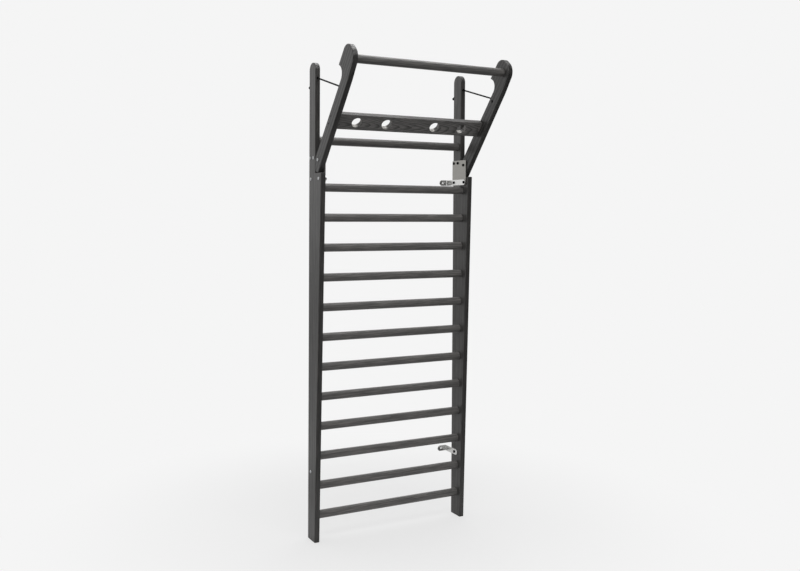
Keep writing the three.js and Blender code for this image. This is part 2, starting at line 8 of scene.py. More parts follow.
import bmesh
import bpy
from bpy.props import FloatProperty, FloatVectorProperty, PointerProperty
from mathutils import Matrix, Vector
from mathutils.geometry import interpolate_bezier


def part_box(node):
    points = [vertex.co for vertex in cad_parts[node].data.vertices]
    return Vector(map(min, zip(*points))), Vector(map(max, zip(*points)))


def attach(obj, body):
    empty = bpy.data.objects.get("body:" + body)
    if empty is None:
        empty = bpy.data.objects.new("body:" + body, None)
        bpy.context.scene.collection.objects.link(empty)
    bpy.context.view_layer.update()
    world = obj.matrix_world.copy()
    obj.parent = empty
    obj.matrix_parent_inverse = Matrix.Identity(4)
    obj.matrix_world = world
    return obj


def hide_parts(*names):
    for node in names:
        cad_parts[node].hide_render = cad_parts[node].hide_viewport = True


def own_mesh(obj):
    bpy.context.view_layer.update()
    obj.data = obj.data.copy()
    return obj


bl_info = {
    "name": "Wall bars",
    "version": (1, 0, 0),
    "blender": (4, 5, 0),
    "location": "3D View > Sidebar > Wall bars",
    "description": "Models and finishes a set of wall bars with a pull-up frame that folds out",
    "category": "Object",
}

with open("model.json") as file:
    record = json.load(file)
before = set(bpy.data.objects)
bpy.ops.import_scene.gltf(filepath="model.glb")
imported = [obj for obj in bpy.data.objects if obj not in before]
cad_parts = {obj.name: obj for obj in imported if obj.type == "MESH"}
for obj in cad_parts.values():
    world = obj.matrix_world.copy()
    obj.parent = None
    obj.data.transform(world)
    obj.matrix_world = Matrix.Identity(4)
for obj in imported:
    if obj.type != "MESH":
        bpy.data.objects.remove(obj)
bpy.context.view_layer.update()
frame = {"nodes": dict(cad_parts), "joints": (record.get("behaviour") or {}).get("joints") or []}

MM = 0.001
WALL_FRAME = "wall_frame"
PULL_UP_FRAME = "pull_up_frame"
SIDES = (("left", -1), ("right", 1))

# The fold's hinge places the pull-up frame: its pieces are drawn folded, from the pivot, then leaned out
FOLD = frame["joints"][0]
PIVOT = Vector(FOLD["pos_m"])
LEAN_ANGLE = math.radians(FOLD["range_deg"][1])
LEAN = Matrix.Translation(PIVOT) @ Matrix.Rotation(LEAN_ANGLE, 4, "X")

# How finely round shapes are drawn
ARC_STEP = math.radians(6)
SHARP_ANGLE = math.radians(35)
BAR_SIDES = 48
FASTENER_SIDES = 36
HEX_SIDES = 6
RIM_STEPS = 5
DOME_STEPS = 6
STRAP_BEND_STEPS = 10
STRAP_END_STEPS = 12
STRANDS = 6
STRAND_SIDES = 4
ROPE_STEP = 2 * MM
BEND_STEPS = 6
BOARD_EDGE_STEPS = 4
BAR_END_STEPS = 3
PLATE_EDGE_STEPS = 2
FLOOR_SIDES = 96
MERGE_DISTANCE = 0.002 * MM

# A right angle, how far a cutting tool reaches past its piece, how near a strap's end comes to a half
# circle, and what a cable bend's reach is divided by for its handles
QUARTER_TURN = math.pi / 2
OVERCUT = 20 * MM
ALMOST = 0.999
BEND_HANDLE = 3

# Heads and ends: a flat, chamfer, ease or shank is a share of the radius there, a skirt one of the head's
# height, and a crimp's place one of the sleeve's length. The recess gives twice its depth, its length and
# its width as shares of the screw head's radius.
BOLT_FLAT = 0.5
BOLT_SKIRT = 0.25
BOLT_CHAMFER = 0.25
NUT_FLAT = 0.7
NUT_SKIRT = 0.3
DOWEL_EASE = 0.125
STOP_EASE = 1 / 6
CRIMP_PLACES = (0.3, 0.5, 0.7)
SCREW_SHANK = 0.5
SCREW_RECESS = (0.8, 1.1, 0.24)

# The cables: the gap between a cable's end and the end of its stop
CABLE_END_GAP = 1 * MM

# The hook board: a face whose normal points up or down by this much is an edge, a hole's wall gets a painted
# highlight where it faces this way, and these are the material slots of its holes and edges
EDGE_FACING = 0.5
HIGHLIGHT_SIDE = Vector((0.45, 0, 0.89))
HOLE_SLOT = 1
EDGE_SLOT = 2

# The hook board's grain: the log's middle behind and below the board, and the slope of the grain
PITH_BEHIND = 60 * MM
PITH_BELOW = 4 * MM
GRAIN_SLOPE = 0.08

# Stained ash: the wave texture's period at a scale of 1, how far the rings waver, how much rougher pores are,
# and for each noise its name, its length along the grain, its width across it and its detail
WAVE_PERIOD = math.tau / 20
RING_WAVER = 14 * MM
PORE_ROUGHNESS = 0.2
ASH_NOISES = (
    ("waver", 260 * MM, 45 * MM, 3),
    ("pores", 42 * MM, 1.6 * MM, 2),
    ("streaks", 90 * MM, 7 * MM, 3),
)

# Light and camera. A fade runs between two distances on the floor, and the room's turn and rise between two
# values of a direction's Y and Z. The soft boxes hold a place, a width and height, and a power in watts.
FLOOR_RADIUS = 30
FLOOR_FADE = (0.3, 1.8)
FLOOR_BOUNCE_FADE = (0.4, 1.6)
FLOOR_BACK_FADE = (0.2, 1.2)
ROOM_TURN = (-0.3, 0.5)
ROOM_RISE = (-0.5, 0.2)
FLOOR_SHADE = 0.3
FLOOR_BOUNCE = 0.8
FLOOR_FAR_BOUNCE = 0.25
FLOOR_BACK_BOUNCE = 0.95
ROOM_FRONT = 0.05
ROOM_BACK = 1.0
ROOM_BELOW = 0.3
LIGHT_TARGET = (0, -0.15, 1.2)
SOFT_BOXES = (
    ("left_soft_box", (-3.6, -0.8, 0.9), (2.5, 3.0), 36),
    ("top_soft_box", (1.0, 0.15, 4.6), (2.6, 0.6), 28),
    ("front_soft_box", (-0.6, -2.4, 4.2), (3, 2), 64),
    ("low_soft_box", (-1.2, -4.5, 0.8), (2.4, 1.2), 9),
)
CAMERA_PLACE = (-1.9941, -3.9422, 1.5385)
CAMERA_YAW = 0.4896
CAMERA_PITCH = -0.0228
CAMERA_ROLL = 0.0058
CAMERA_LENS = 39.907
CAMERA_SENSOR = 36
CAMERA_SHIFT = -0.0642


def linear(hex_colour):
    """A colour given as sRGB hex digits, as linear RGBA."""
    parts = [int(hex_colour[i:i + 2], 16) / 255 for i in (0, 2, 4)]
    return [p / 12.92 if p <= 0.04045 else ((p + 0.055) / 1.055) ** 2.4 for p in parts] + [1.0]


def length_property(name, millimetres, description):
    """A length that the user can change, given in millimetres."""
    return FloatProperty(name=name, description=description, default=millimetres * MM, unit="LENGTH")


def colour_property(name, hex_colour, description):
    """A colour that the user can change."""
    return FloatVectorProperty(
        name=name, description=description, default=linear(hex_colour), size=4, min=0, max=1, subtype="COLOR")


class WallBarsWood(bpy.types.PropertyGroup):
    """Sizes of the wooden boards and bars"""

    foot_depth: length_property("Foot depth", 83, "Depth of an upright at the floor")
    post_depth: length_property("Post depth", 71, "Depth of the post above the shoulder")
    shoulder_height: length_property("Shoulder height", 1726, "Height of the step in the uprights")
    edge_round: length_property("Edge rounding", 3, "Radius of the boards' edges")
    rung_diameter: length_property("Rung diameter", 39, "Diameter of the rungs")
    bar_diameter: length_property("Bar diameter", 38, "Diameter of the pull-up bar")
    bar_end_round: length_property("Bar end rounding", 1.5, "Radius at the ends of the rungs and the bar")
    socket_gap: length_property("Socket gap", 0.3, "Gap around a bar in its socket")
    arm_gap: length_property("Arm gap", 3, "Gap between a folded arm and its post")
    heel_radius: length_property("Heel radius", 58, "Radius of an arm's lower end about the pivot")
    arm_front: length_property("Arm front", 41.5, "From the pivot forwards to the arm's front edge")
    neck_width: length_property("Neck width", 62, "Width of an arm below its head")
    head_radius: length_property("Head radius", 51, "Radius of an arm's head about the bar")
    head_reach: length_property("Head reach", 65, "From the bar back to the head's end")
    head_corner: length_property("Head corner", 47, "Radius of the head's upper back corner")
    lip_round: length_property("Lip rounding", 4, "Radius at the end of the head's underside")
    hook_hole: length_property("Hook hole", 47, "Diameter of the holes in the hook board")
    hook_hole_inner: length_property("Inner hook holes", 127, "From mid-width to the inner holes")
    hook_hole_outer: length_property("Outer hook holes", 278, "From mid-width to the outer holes")
    hole_round: length_property("Hook hole rounding", 5, "Radius of the edges of the holes")


class WallBarsSteel(bpy.types.PropertyGroup):
    """Sizes of the plates, brackets and fasteners"""

    plate_corner: length_property("Plate corner", 4, "Radius of a pivot plate's corners")
    plate_front_corner: length_property("Plate front corner", 18, "Radius of a plate's lower front corner")
    plate_edge: length_property("Plate edge", 1, "Rounding along the edges of plates and straps")
    strap_thickness: length_property("Strap thickness", 4, "Thickness of the wall brackets")
    strap_bend: length_property("Strap bend", 4, "Inner radius of a bracket's bend")
    wall_hole: length_property("Wall hole", 8, "Diameter of the hole in a bracket's wall leg")
    wall_hole_end: length_property("Wall hole to end", 19, "From the wall leg's end to its hole")
    shank: length_property("Bolt shank", 6, "Diameter of the bolts")
    bolt_head_height: length_property("Bolt head height", 4.2, "Height of a bolt's button head")
    bolt_key: length_property("Bolt key", 4, "Width across the flats of a bolt's key hole")
    nut_head_height: length_property("Nut head height", 3, "Height of a sleeve nut's head")
    nut_key: length_property("Nut key", 6, "Width across the flats of a nut's key hole")
    nut_web: length_property("Nut web", 2, "Thickness between a nut's key hole and its thread")
    key_depth: length_property("Key depth", 2.4, "Depth of the key holes")
    barrel: length_property("Nut barrel", 9, "Diameter of a sleeve nut's barrel")
    barrel_length: length_property("Barrel length", 16, "Length of a sleeve nut's barrel")
    bore_gap: length_property("Bore gap", 0.3, "Gap around a shank or barrel in its bore")
    bush_wall: length_property("Bush wall", 2, "Wall of the pivot bushes")
    screw_head: length_property("Screw head", 8, "Diameter of the hook board's screw heads")
    screw_rim: length_property("Screw rim", 0.5, "Height of the screw heads' rims")
    screw_length: length_property("Screw length", 22, "From a screw's top to where its point starts")
    screw_edge: length_property("Screw to edge", 20, "From the hook board's edges to its screws")


class WallBarsCables(bpy.types.PropertyGroup):
    """Sizes of the stay cables and their ends"""

    diameter: length_property("Cable diameter", 8, "Diameter of a stay cable")
    lay: length_property("Lay", 45, "Length in which a strand goes once round the rope")
    groove: length_property("Groove", 0.6, "Depth of the grooves between strands")
    bend: length_property("Bend", 20, "Radius of a cable where it turns into a hole")
    post_drop: length_property("Drop in post", 75, "From the post's top to the hole in its front")
    post_slope: FloatProperty(
        name="Slope in post", description="Slope of the hole through the post", default=math.radians(20.5),
        unit="ROTATION")
    inside: length_property("Inside", 8, "How far the free stretch reaches into its holes")
    flare: length_property("Flare", 11, "Diameter of a cable hole at its mouth")
    flare_depth: length_property("Flare depth", 7, "Depth of the flared mouth")
    stop_length: length_property("Stop length", 30, "Length of the stop sleeve behind the post")
    stop_seat: length_property("Stop seat", 3, "How far the stop sleeve sits in the post")
    stop_crimp: length_property("Crimp", 0.8, "Depth of the crimped grooves in the stop sleeve")
    dowel: length_property("Dowel", 14, "Diameter of the cross dowel that holds a cable in its arm")
    dowel_cover: length_property("Dowel cover", 5, "Wood left over a dowel's outer end")
    dowel_slot: length_property("Dowel slot", 2, "Width and depth of the slot in a cross dowel")


class WallBarsColours(bpy.types.PropertyGroup):
    """Colours of the finishes"""

    ash_ground: colour_property("Ash", "525150", "Stained wood between the growth rings")
    ash_ring: colour_property("Ash rings", "242323", "Stain gathered in the open grain of the growth rings")
    ash_worn: colour_property("Ash highlights", "656361", "Hard late wood that takes less stain")
    # Painted highlight on the hook holes' walls, where light falls in through them
    hole_highlight: colour_property("Hole highlight", "E6E3DE", "Painted highlight where light falls into the hook holes")
    stainless: colour_property("Stainless steel", "B2B0AB", "Brushed pivot plates")
    strap: colour_property("Straps", "FAFAF8", "Bright zinc on the wall brackets")
    zinc: colour_property("Zinc", "D5D6D7", "Sleeve nuts")
    black_steel: colour_property("Black steel", "161617", "Bolts, cross dowels, stop sleeves and screws")
    bronze: colour_property("Bronze", "8A6B3F", "Sintered pivot bushes")
    rope: colour_property("Wire rope", "141415", "Oiled wire rope")
    floor: colour_property("Floor", "F5F5F5", "Pale studio floor and background")


class WallBarsSettings(bpy.types.PropertyGroup):
    """All the sizes and colours"""

    wood: PointerProperty(type=WallBarsWood)
    steel: PointerProperty(type=WallBarsSteel)
    cables: PointerProperty(type=WallBarsCables)
    colours: PointerProperty(type=WallBarsColours)


# Shaping


def trace(bm, start, *moves):
    """Fills a closed outline in the YZ plane. A move holds a point to go to, or a centre and a turn."""
    first = bm.verts.new((0, *start))
    last = first
    for point, *turn in moves:
        if turn:
            steps = math.ceil(abs(turn[0]) / ARC_STEP)
            made = bmesh.ops.spin(
                bm, geom=[last], cent=(0, *point), axis=(1, 0, 0), angle=turn[0], steps=steps)
            last = made["geom_last"][0]
        else:
            corner = bm.verts.new((0, *point))
            bm.edges.new((last, corner))
            last = corner
    bm.edges.new((last, first))
    bmesh.ops.remove_doubles(bm, verts=bm.verts, dist=MERGE_DISTANCE)
    bmesh.ops.contextual_create(bm, geom=bm.edges[:])


def thicken(bm, from_x, to_x):
    """Turns the flat faces in the YZ plane into a board between two values of X."""
    made = bmesh.ops.extrude_face_region(bm, geom=bm.faces[:])
    far_side = [v for v in made["geom"] if isinstance(v, bmesh.types.BMVert)]
    bmesh.ops.translate(bm, verts=far_side, vec=(to_x - from_x, 0, 0))
    bmesh.ops.translate(bm, verts=bm.verts, vec=(from_x, 0, 0))
    bmesh.ops.recalc_face_normals(bm, faces=bm.faces)


def extend(bm, face, keep=False):
    """Extrudes an end of a solid and gives the new end. The old face goes unless it is kept."""
    made = bmesh.ops.extrude_face_region(bm, geom=[face])["geom"]
    if not keep:
        bmesh.ops.delete(bm, geom=[face], context="FACES_ONLY")
    return next(f for f in made if isinstance(f, bmesh.types.BMFace))


def sharp_edges(bm):
    return [e for e in bm.edges if e.is_manifold and e.calc_face_angle() > SHARP_ANGLE]


def round_edges(bm, edges, radius, segments=BOARD_EDGE_STEPS):
    bmesh.ops.bevel(
        bm, geom=edges, offset=radius, offset_type="OFFSET", segments=segments, profile=0.5,
        affect="EDGES", clamp_overlap=True, material=-1)
    bmesh.ops.remove_doubles(bm, verts=bm.verts, dist=MERGE_DISTANCE)


def turned(profile, sides=FASTENER_SIDES):
    """A solid turned about the X axis from a profile of (x, radius) that closes on itself or at the axis."""
    bm = bmesh.new()
    points = [bm.verts.new((x, 0, radius)) for x, radius in profile]
    edges = [bm.edges.new(pair) for pair in zip(points, points[1:])]
    bmesh.ops.spin(
        bm, geom=points + edges, cent=(0, 0, 0), axis=(1, 0, 0), angle=math.tau, steps=sides, use_merge=True)
    bmesh.ops.remove_doubles(bm, verts=bm.verts, dist=MERGE_DISTANCE)
    bmesh.ops.recalc_face_normals(bm, faces=bm.faces)
    return bm


def plain_bore(from_x, to_x, radius, sides=FASTENER_SIDES):
    """A drill's path along X."""
    return turned([(from_x, 0), (from_x, radius), (to_x, radius), (to_x, 0)], sides)


def block(size):
    """A box about the origin."""
    bm = bmesh.new()
    bmesh.ops.create_cube(bm, size=1, matrix=Matrix.Diagonal((*size, 1)))
    return bm


def placed(bm, *matrices):
    for matrix in matrices:
        bmesh.ops.transform(bm, matrix=matrix, verts=bm.verts)
    return bm


def at(x, y, z):
    return Matrix.Translation((x, y, z))


def facing(side):
    """Turns a piece drawn for the right-hand side to face outwards on its own side."""
    return Matrix.Rotation(0 if side > 0 else math.pi, 4, "Z")


def joined(shapes):
    """One mesh of several separate solids."""
    whole = bmesh.new()
    for shape in shapes:
        part = bpy.data.meshes.new("part")
        shape.to_mesh(part)
        shape.free()
        whole.from_mesh(part)
        bpy.data.meshes.remove(part)
    return whole


def new_object(bm, name):
    """An object in the scene, made of a mesh that isn't needed further."""
    mesh = bpy.data.meshes.new(name)
    bm.to_mesh(mesh)
    bm.free()
    made = bpy.data.objects.new(name, mesh)
    bpy.context.scene.collection.objects.link(made)
    return made


def cut(bm, tools):
    """The solid without the tools' space. The tools may not overlap each other."""
    body = new_object(bm, "stand_in")
    tool = new_object(joined(tools), "stand_in")
    bore = body.modifiers.new("bore", "BOOLEAN")
    bore.operation = "DIFFERENCE"
    bore.solver = "EXACT"
    bore.object = tool
    mesh = bpy.data.meshes.new_from_object(body.evaluated_get(bpy.context.evaluated_depsgraph_get()))
    result = bmesh.new()
    result.from_mesh(mesh)
    for stand in (body, tool):
        bpy.data.meshes.remove(stand.data)
    bpy.data.meshes.remove(mesh)
    return result


def add_piece(bm, name, body, material, slot, *nodes):
    """A finished piece that rides on a body and stands for CAD nodes."""
    piece = new_object(bm, name)
    piece.data.shade_smooth()
    piece.data.set_sharp_from_angle(angle=SHARP_ANGLE)
    piece.data.materials.append(material)
    even = piece.modifiers.new("even shading", "WEIGHTED_NORMAL")
    even.keep_sharp = True
    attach(piece, body)
    if nodes:
        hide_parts(*nodes)
    return piece


def finish_node(bm, node, body, material, slot):
    """A finished piece that stands for one CAD node and is named after it."""
    return add_piece(bm, f"{node}_finish", body, material, slot, node)


def middle(node):
    low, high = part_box(node)
    return (low + high) / 2


def folded_box(node):
    """A node's box on the folded pull-up frame, from the pivot."""
    corners = [LEAN.inverted() @ v.co for v in frame["nodes"][node].data.vertices]
    low = Vector([min(c[i] for c in corners) for i in range(3)])
    high = Vector([max(c[i] for c in corners) for i in range(3)])
    return low, high


# Finishes


def add_node(tree, kind, inputs=(), **settings):
    """Adds a node with its settings. Inputs hold a socket's name or number, and a value or socket to link."""
    node = tree.nodes.new(kind)
    for name, value in settings.items():
        setattr(node, name, value)
    for name, value in dict(inputs).items():
        if isinstance(value, bpy.types.NodeSocket):
            tree.links.new(value, node.inputs[name])
        else:
            node.inputs[name].default_value = value
    return node


def new_material(name):
    """An empty material with its node tree, or the finished one and no tree."""
    if name in bpy.data.materials:
        return bpy.data.materials[name], None
    material = bpy.data.materials.new(name)
    material.use_nodes = True
    material.node_tree.nodes.clear()
    return material, material.node_tree


def finish_surface(tree, inputs):
    surface = add_node(tree, "ShaderNodeBsdfPrincipled", inputs)
    add_node(tree, "ShaderNodeOutputMaterial", {"Surface": surface.outputs["BSDF"]})


def stained_ash(colours, name, turn, pith, ring_width, figure, lightness, roughness, highlight_side=None):
    """Ash planed, stained black and oiled: the open pores of its growth rings drink the stain and stay darker
    than the hard wood between them, which keeps a dull sheen. The turn brings the grain along X, pith is the
    log's middle there, figure is how strongly rings and pores show, lightness how little stain the piece has
    taken, and on the hook board also painted light on its face and painted shade on its edges, roughness that
    of the hard wood, and the last argument the way a surface faces where a pale highlight is painted over the
    stain. Ash has pores of 0.3 mm and rings of about 4 mm. From across a room they are too fine to show, so
    pores are drawn 1.6 mm wide in streaks of 7 mm, and rings 9 or 20 mm wide on all but the hook board."""
    material, tree = new_material(name)
    if tree is None:
        return material
    place = add_node(tree, "ShaderNodeTexCoord").outputs["Object"]
    grain = add_node(tree, "ShaderNodeMapping", {"Vector": place, "Rotation": turn}).outputs[0]
    noises = {}
    for key, long, wide, detail in ASH_NOISES:
        stretched = add_node(
            tree, "ShaderNodeMapping", {"Vector": grain, "Scale": (1 / long, 1 / wide, 1 / wide)}).outputs[0]
        noises[key] = add_node(
            tree, "ShaderNodeTexNoise", {"Vector": stretched, "Scale": 1, "Detail": detail}).outputs
    shift = add_node(
        tree, "ShaderNodeVectorMath",
        {0: noises["waver"]["Color"], 1: (RING_WAVER,) * 3, 2: [-p for p in pith]},
        operation="MULTIPLY_ADD").outputs[0]
    log = add_node(tree, "ShaderNodeVectorMath", {0: grain, 1: shift}, operation="ADD").outputs[0]
    rings = add_node(
        tree, "ShaderNodeTexWave", {"Vector": log, "Scale": WAVE_PERIOD / ring_width, "Distortion": 0},
        wave_type="RINGS", rings_direction="X", wave_profile="SAW").outputs["Fac"]
    ring_stain = add_node(
        tree, "ShaderNodeMapRange", {"Value": rings, "From Min": 0.35, "From Max": 0.95, "To Max": 0.8},
        interpolation_type="SMOOTHSTEP").outputs[0]
    pore_stain = add_node(
        tree, "ShaderNodeMapRange",
        {"Value": noises["pores"]["Fac"], "From Min": 0.52, "From Max": 0.68, "To Max": 0.6}).outputs[0]
    darker = add_node(tree, "ShaderNodeMath", {0: ring_stain, 1: pore_stain}, operation="MAXIMUM").outputs[0]
    stain = add_node(tree, "ShaderNodeMath", {0: darker, 1: figure}, operation="MULTIPLY").outputs[0]
    hard = add_node(
        tree, "ShaderNodeMapRange",
        {"Value": noises["streaks"]["Fac"], "From Min": 0.4, "From Max": 0.66}).outputs[0]
    ground = add_node(
        tree, "ShaderNodeMix", {0: hard, 6: colours.ash_ground, 7: colours.ash_worn},
        data_type="RGBA").outputs[2]
    colour = add_node(
        tree, "ShaderNodeMix", {0: stain, 6: ground, 7: colours.ash_ring}, data_type="RGBA").outputs[2]
    shade = add_node(
        tree, "ShaderNodeVectorMath", {0: colour, "Scale": lightness}, operation="SCALE").outputs[0]
    # A pale painted highlight on the faces that turn towards the given side, where light falls into the hook
    # holes
    if highlight_side:
        normal = add_node(tree, "ShaderNodeTexCoord").outputs["Normal"]
        squareness = add_node(
            tree, "ShaderNodeVectorMath", {0: normal, 1: highlight_side}, operation="DOT_PRODUCT").outputs["Value"]
        painted_highlight = add_node(
            tree, "ShaderNodeMapRange", {"Value": squareness, "From Min": 0.4, "From Max": 0.75},
            interpolation_type="SMOOTHSTEP").outputs[0]
        shade = add_node(
            tree, "ShaderNodeMix", {0: painted_highlight, 6: shade, 7: colours.hole_highlight}, data_type="RGBA").outputs[2]
    sheen = add_node(
        tree, "ShaderNodeMapRange",
        {"Value": stain, "To Min": roughness, "To Max": roughness + PORE_ROUGHNESS}).outputs[0]
    pits = add_node(tree, "ShaderNodeMath", {0: 1.0, 1: stain}, operation="SUBTRACT").outputs[0]
    relief = add_node(
        tree, "ShaderNodeBump", {"Height": pits, "Strength": 0.35, "Distance": 0.4 * MM}).outputs[0]
    finish_surface(tree, {"Base Color": shade, "Roughness": sheen, "Normal": relief, "IOR": 1.5})
    return material


def ash_upright(colours):
    return stained_ash(
        colours, "black_stained_ash_upright", turn=(0, QUARTER_TURN, 0), pith=(0, 0.02, 0.05),
        ring_width=9 * MM, figure=0.4, lightness=0.62, roughness=0.3)


def turned_ash(colours, name, lightness):
    """A round rod with the grain along it."""
    return stained_ash(
        colours, name, turn=(0, 0.02, 0), pith=(0, 0.06, 0.4), ring_width=9 * MM, figure=0.4,
        lightness=lightness, roughness=0.35)


def ash_rung(colours):
    return turned_ash(colours, "black_stained_ash_rung", lightness=1.9)


def ash_bar(colours):
    return turned_ash(colours, "black_stained_ash_bar", lightness=1.4)


def ash_arm(colours):
    return stained_ash(
        colours, "black_stained_ash_arm", turn=(-LEAN_ANGLE, QUARTER_TURN, 0), pith=(0, 0.03, 0.05),
        ring_width=20 * MM, figure=0.8, lightness=0.52, roughness=0.35)


def flat_sawn_ash(colours, name, figure, lightness, highlight_side=None):
    """A flat-sawn board: its rings come out of its face as long pointed arches."""
    level = Matrix.Rotation(-LEAN_ANGLE, 3, "X") @ middle("hook_board")
    pith = (0, level.y + PITH_BEHIND, level.z - PITH_BELOW)
    return stained_ash(
        colours, name, turn=(-LEAN_ANGLE, 0, -GRAIN_SLOPE), pith=pith, ring_width=4 * MM, figure=figure,
        lightness=lightness, roughness=0.42, highlight_side=highlight_side)


# The board's face is drawn much lighter than the other pieces: its own tone, and painted light on a face that
# looks down into shade
def ash_hook_board_painted_light(colours):
    return flat_sawn_ash(colours, "black_stained_ash_hook_board_painted_light", figure=0.85, lightness=2.2)


def ash_board_edge_painted_shade(colours):
    """The board's edges, drawn darker than its faces: painted shade that tones down the light from above on
    them.
    """
    return flat_sawn_ash(colours, "black_stained_ash_board_edge_painted_shade", figure=0.6, lightness=1.3)


def ash_hole_highlight(colours):
    """The holes' walls, with a pale highlight painted on the side where light falls in through the holes."""
    highlight_side = (LEAN.to_3x3() @ HIGHLIGHT_SIDE)[:]
    return flat_sawn_ash(colours, "stained_ash_hole_painted_highlight", figure=0.85, lightness=2.2, highlight_side=highlight_side)


def patterned_metal(name, colour, grain, detail, tones, roughness, strength, depth, anisotropy=0.0):
    """Metal whose colour, roughness and relief follow one noise, with grain as its sizes in X, Y and Z."""
    material, tree = new_material(name)
    if tree is None:
        return material
    place = add_node(tree, "ShaderNodeTexCoord").outputs["Object"]
    stretched = add_node(
        tree, "ShaderNodeMapping", {"Vector": place, "Scale": [1 / size for size in grain]}).outputs[0]
    noise = add_node(
        tree, "ShaderNodeTexNoise", {"Vector": stretched, "Scale": 1, "Detail": detail}).outputs["Fac"]
    tone = add_node(
        tree, "ShaderNodeMapRange", {"Value": noise, "To Min": tones[0], "To Max": tones[1]}).outputs[0]
    shade = add_node(
        tree, "ShaderNodeVectorMath", {0: colour[:3], "Scale": tone}, operation="SCALE").outputs[0]
    rough = add_node(
        tree, "ShaderNodeMapRange",
        {"Value": noise, "To Min": roughness[0], "To Max": roughness[1]}).outputs[0]
    relief = add_node(
        tree, "ShaderNodeBump", {"Height": noise, "Strength": strength, "Distance": depth}).outputs[0]
    finish_surface(tree, {
        "Base Color": shade, "Metallic": 1.0, "Roughness": rough, "Anisotropic": anisotropy,
        "Normal": relief})
    return material


def brushed_metal(name, colour, brush, roughness, anisotropy):
    """Sheet steel brushed or rolled one way: fine parallel scratches, given as their sizes in X, Y and Z,
    spread its reflections into a soft band. Scratches of 0.1 mm don't show, so they are 1.2 mm wide."""
    return patterned_metal(
        name, colour, grain=brush, detail=3, tones=(0.8, 1.12), roughness=(roughness - 0.1, roughness + 0.1),
        strength=0.12, depth=0.1 * MM, anisotropy=anisotropy)


def brushed_stainless(colours):
    return brushed_metal(
        "brushed_stainless_steel", colours.stainless, brush=(60 * MM, 1.2 * MM, 60 * MM), roughness=0.38,
        anisotropy=0.4)


def bright_strap(colours):
    return brushed_metal(
        "rolled_zinc_plated_strap", colours.strap, brush=(50 * MM, 50 * MM, 1.2 * MM), roughness=0.27,
        anisotropy=0.0)


def mottled_metal(name, colour, grain, roughness, depth):
    """Turned or pressed metal with a plated or blackened skin: an even colour with a faint mottle and tiny
    pits. The mottle of a real skin is under 0.1 mm, so it is drawn coarser to show up close."""
    return patterned_metal(
        name, colour, grain=(grain,) * 3, detail=4, tones=(0.75, 1.15),
        roughness=(roughness - 0.08, roughness + 0.12), strength=0.2, depth=depth)


def zinc_plate(colours):
    return mottled_metal("zinc_plated_steel", colours.zinc, grain=0.8 * MM, roughness=0.25, depth=0.03 * MM)


def black_oxide(colours):
    return mottled_metal(
        "blackened_steel", colours.black_steel, grain=0.6 * MM, roughness=0.42, depth=0.04 * MM)


def sintered_bronze(colours):
    return mottled_metal("sintered_bronze", colours.bronze, grain=0.5 * MM, roughness=0.45, depth=0.06 * MM)


def oiled_rope(colours):
    return mottled_metal("oiled_wire_rope", colours.rope, grain=0.5 * MM, roughness=0.38, depth=0.05 * MM)


# Pieces


def post_hole_direction(cables):
    """Back and down towards the wall."""
    return Vector((0, math.cos(cables.post_slope), -math.sin(cables.post_slope)))


def post_mouth(settings, side_name):
    """Where a cable enters the front of its post."""
    low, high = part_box(f"{side_name}_upright")
    front = high.y - settings.wood.post_depth
    return Vector(((low.x + high.x) / 2, front, high.z - settings.cables.post_drop))


def cable_anchor(side_name):
    """Where a cable ends in its cross dowel, on the folded arm."""
    dowel = LEAN.inverted() @ middle(f"{side_name}_cable_dowel")
    return Vector((middle(f"{side_name}_arm").x, dowel.y, dowel.z))


def arm_mouth(settings, side_name):
    """Where a cable leaves the back of its arm, on the folded arm."""
    anchor = cable_anchor(side_name)
    return Vector((anchor.x, arm_back(settings.wood), anchor.z))


def arm_back(wood):
    """From the pivot back to a folded arm's back edge."""
    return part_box("left_upright")[1].y - PIVOT.y - wood.post_depth - wood.arm_gap


def along_x(direction):
    """A turn that takes the X axis to a direction."""
    return Vector((1, 0, 0)).rotation_difference(direction).to_matrix().to_4x4()


def cable_bore(settings):
    return settings.cables.diameter / 2 + settings.steel.bore_gap


def flared_mouth(settings):
    """The start of a cable hole's profile, which widens towards its mouth at X = 0 and past it."""
    cables = settings.cables
    bore = cable_bore(settings)
    lead = cables.flare_depth / 2
    slope = (cables.flare / 2 - bore) / cables.flare_depth
    return [(-lead, 0), (-lead, cables.flare / 2 + slope * lead), (cables.flare_depth, bore)]


def post_hole_length(settings):
    """The length of a cable's way through its post."""
    return settings.wood.post_depth / post_hole_direction(settings.cables).y


def post_hole(settings, side_name):
    """The flared hole for a cable through a post, with a seat for the stop behind."""
    low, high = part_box(f"{side_name}_cable_stop")
    seat = (high.x - low.x) / 2 + settings.steel.bore_gap
    seat_start = post_hole_length(settings) - settings.cables.stop_seat
    end = post_hole_length(settings) + OVERCUT
    profile = flared_mouth(settings) + [
        (seat_start, cable_bore(settings)), (seat_start, seat), (end, seat), (end, 0)]
    mouth = Matrix.Translation(post_mouth(settings, side_name))
    return placed(turned(profile), along_x(post_hole_direction(settings.cables)), mouth)


def rung_names():
    return sorted(node for node in frame["nodes"] if "rung" in node)


def bolt_names(side_name):
    return sorted(node for node in frame["nodes"] if node.startswith(side_name) and "bolt" in node)


def bolt_bore(settings, side, node, inner, outer):
    """The stepped hole through an upright for a bolt from the inside and its sleeve nut from the outside."""
    steel = settings.steel
    shank = steel.shank / 2 + steel.bore_gap
    barrel = steel.barrel / 2 + steel.bore_gap
    step = outer - steel.barrel_length - steel.bore_gap
    start, end = inner - OVERCUT, outer + OVERCUT
    profile = [(start, 0), (start, shank), (step, shank), (step, barrel), (end, barrel), (end, 0)]
    centre = middle(node)
    return placed(turned(profile), facing(side), at(0, centre.y, centre.z))


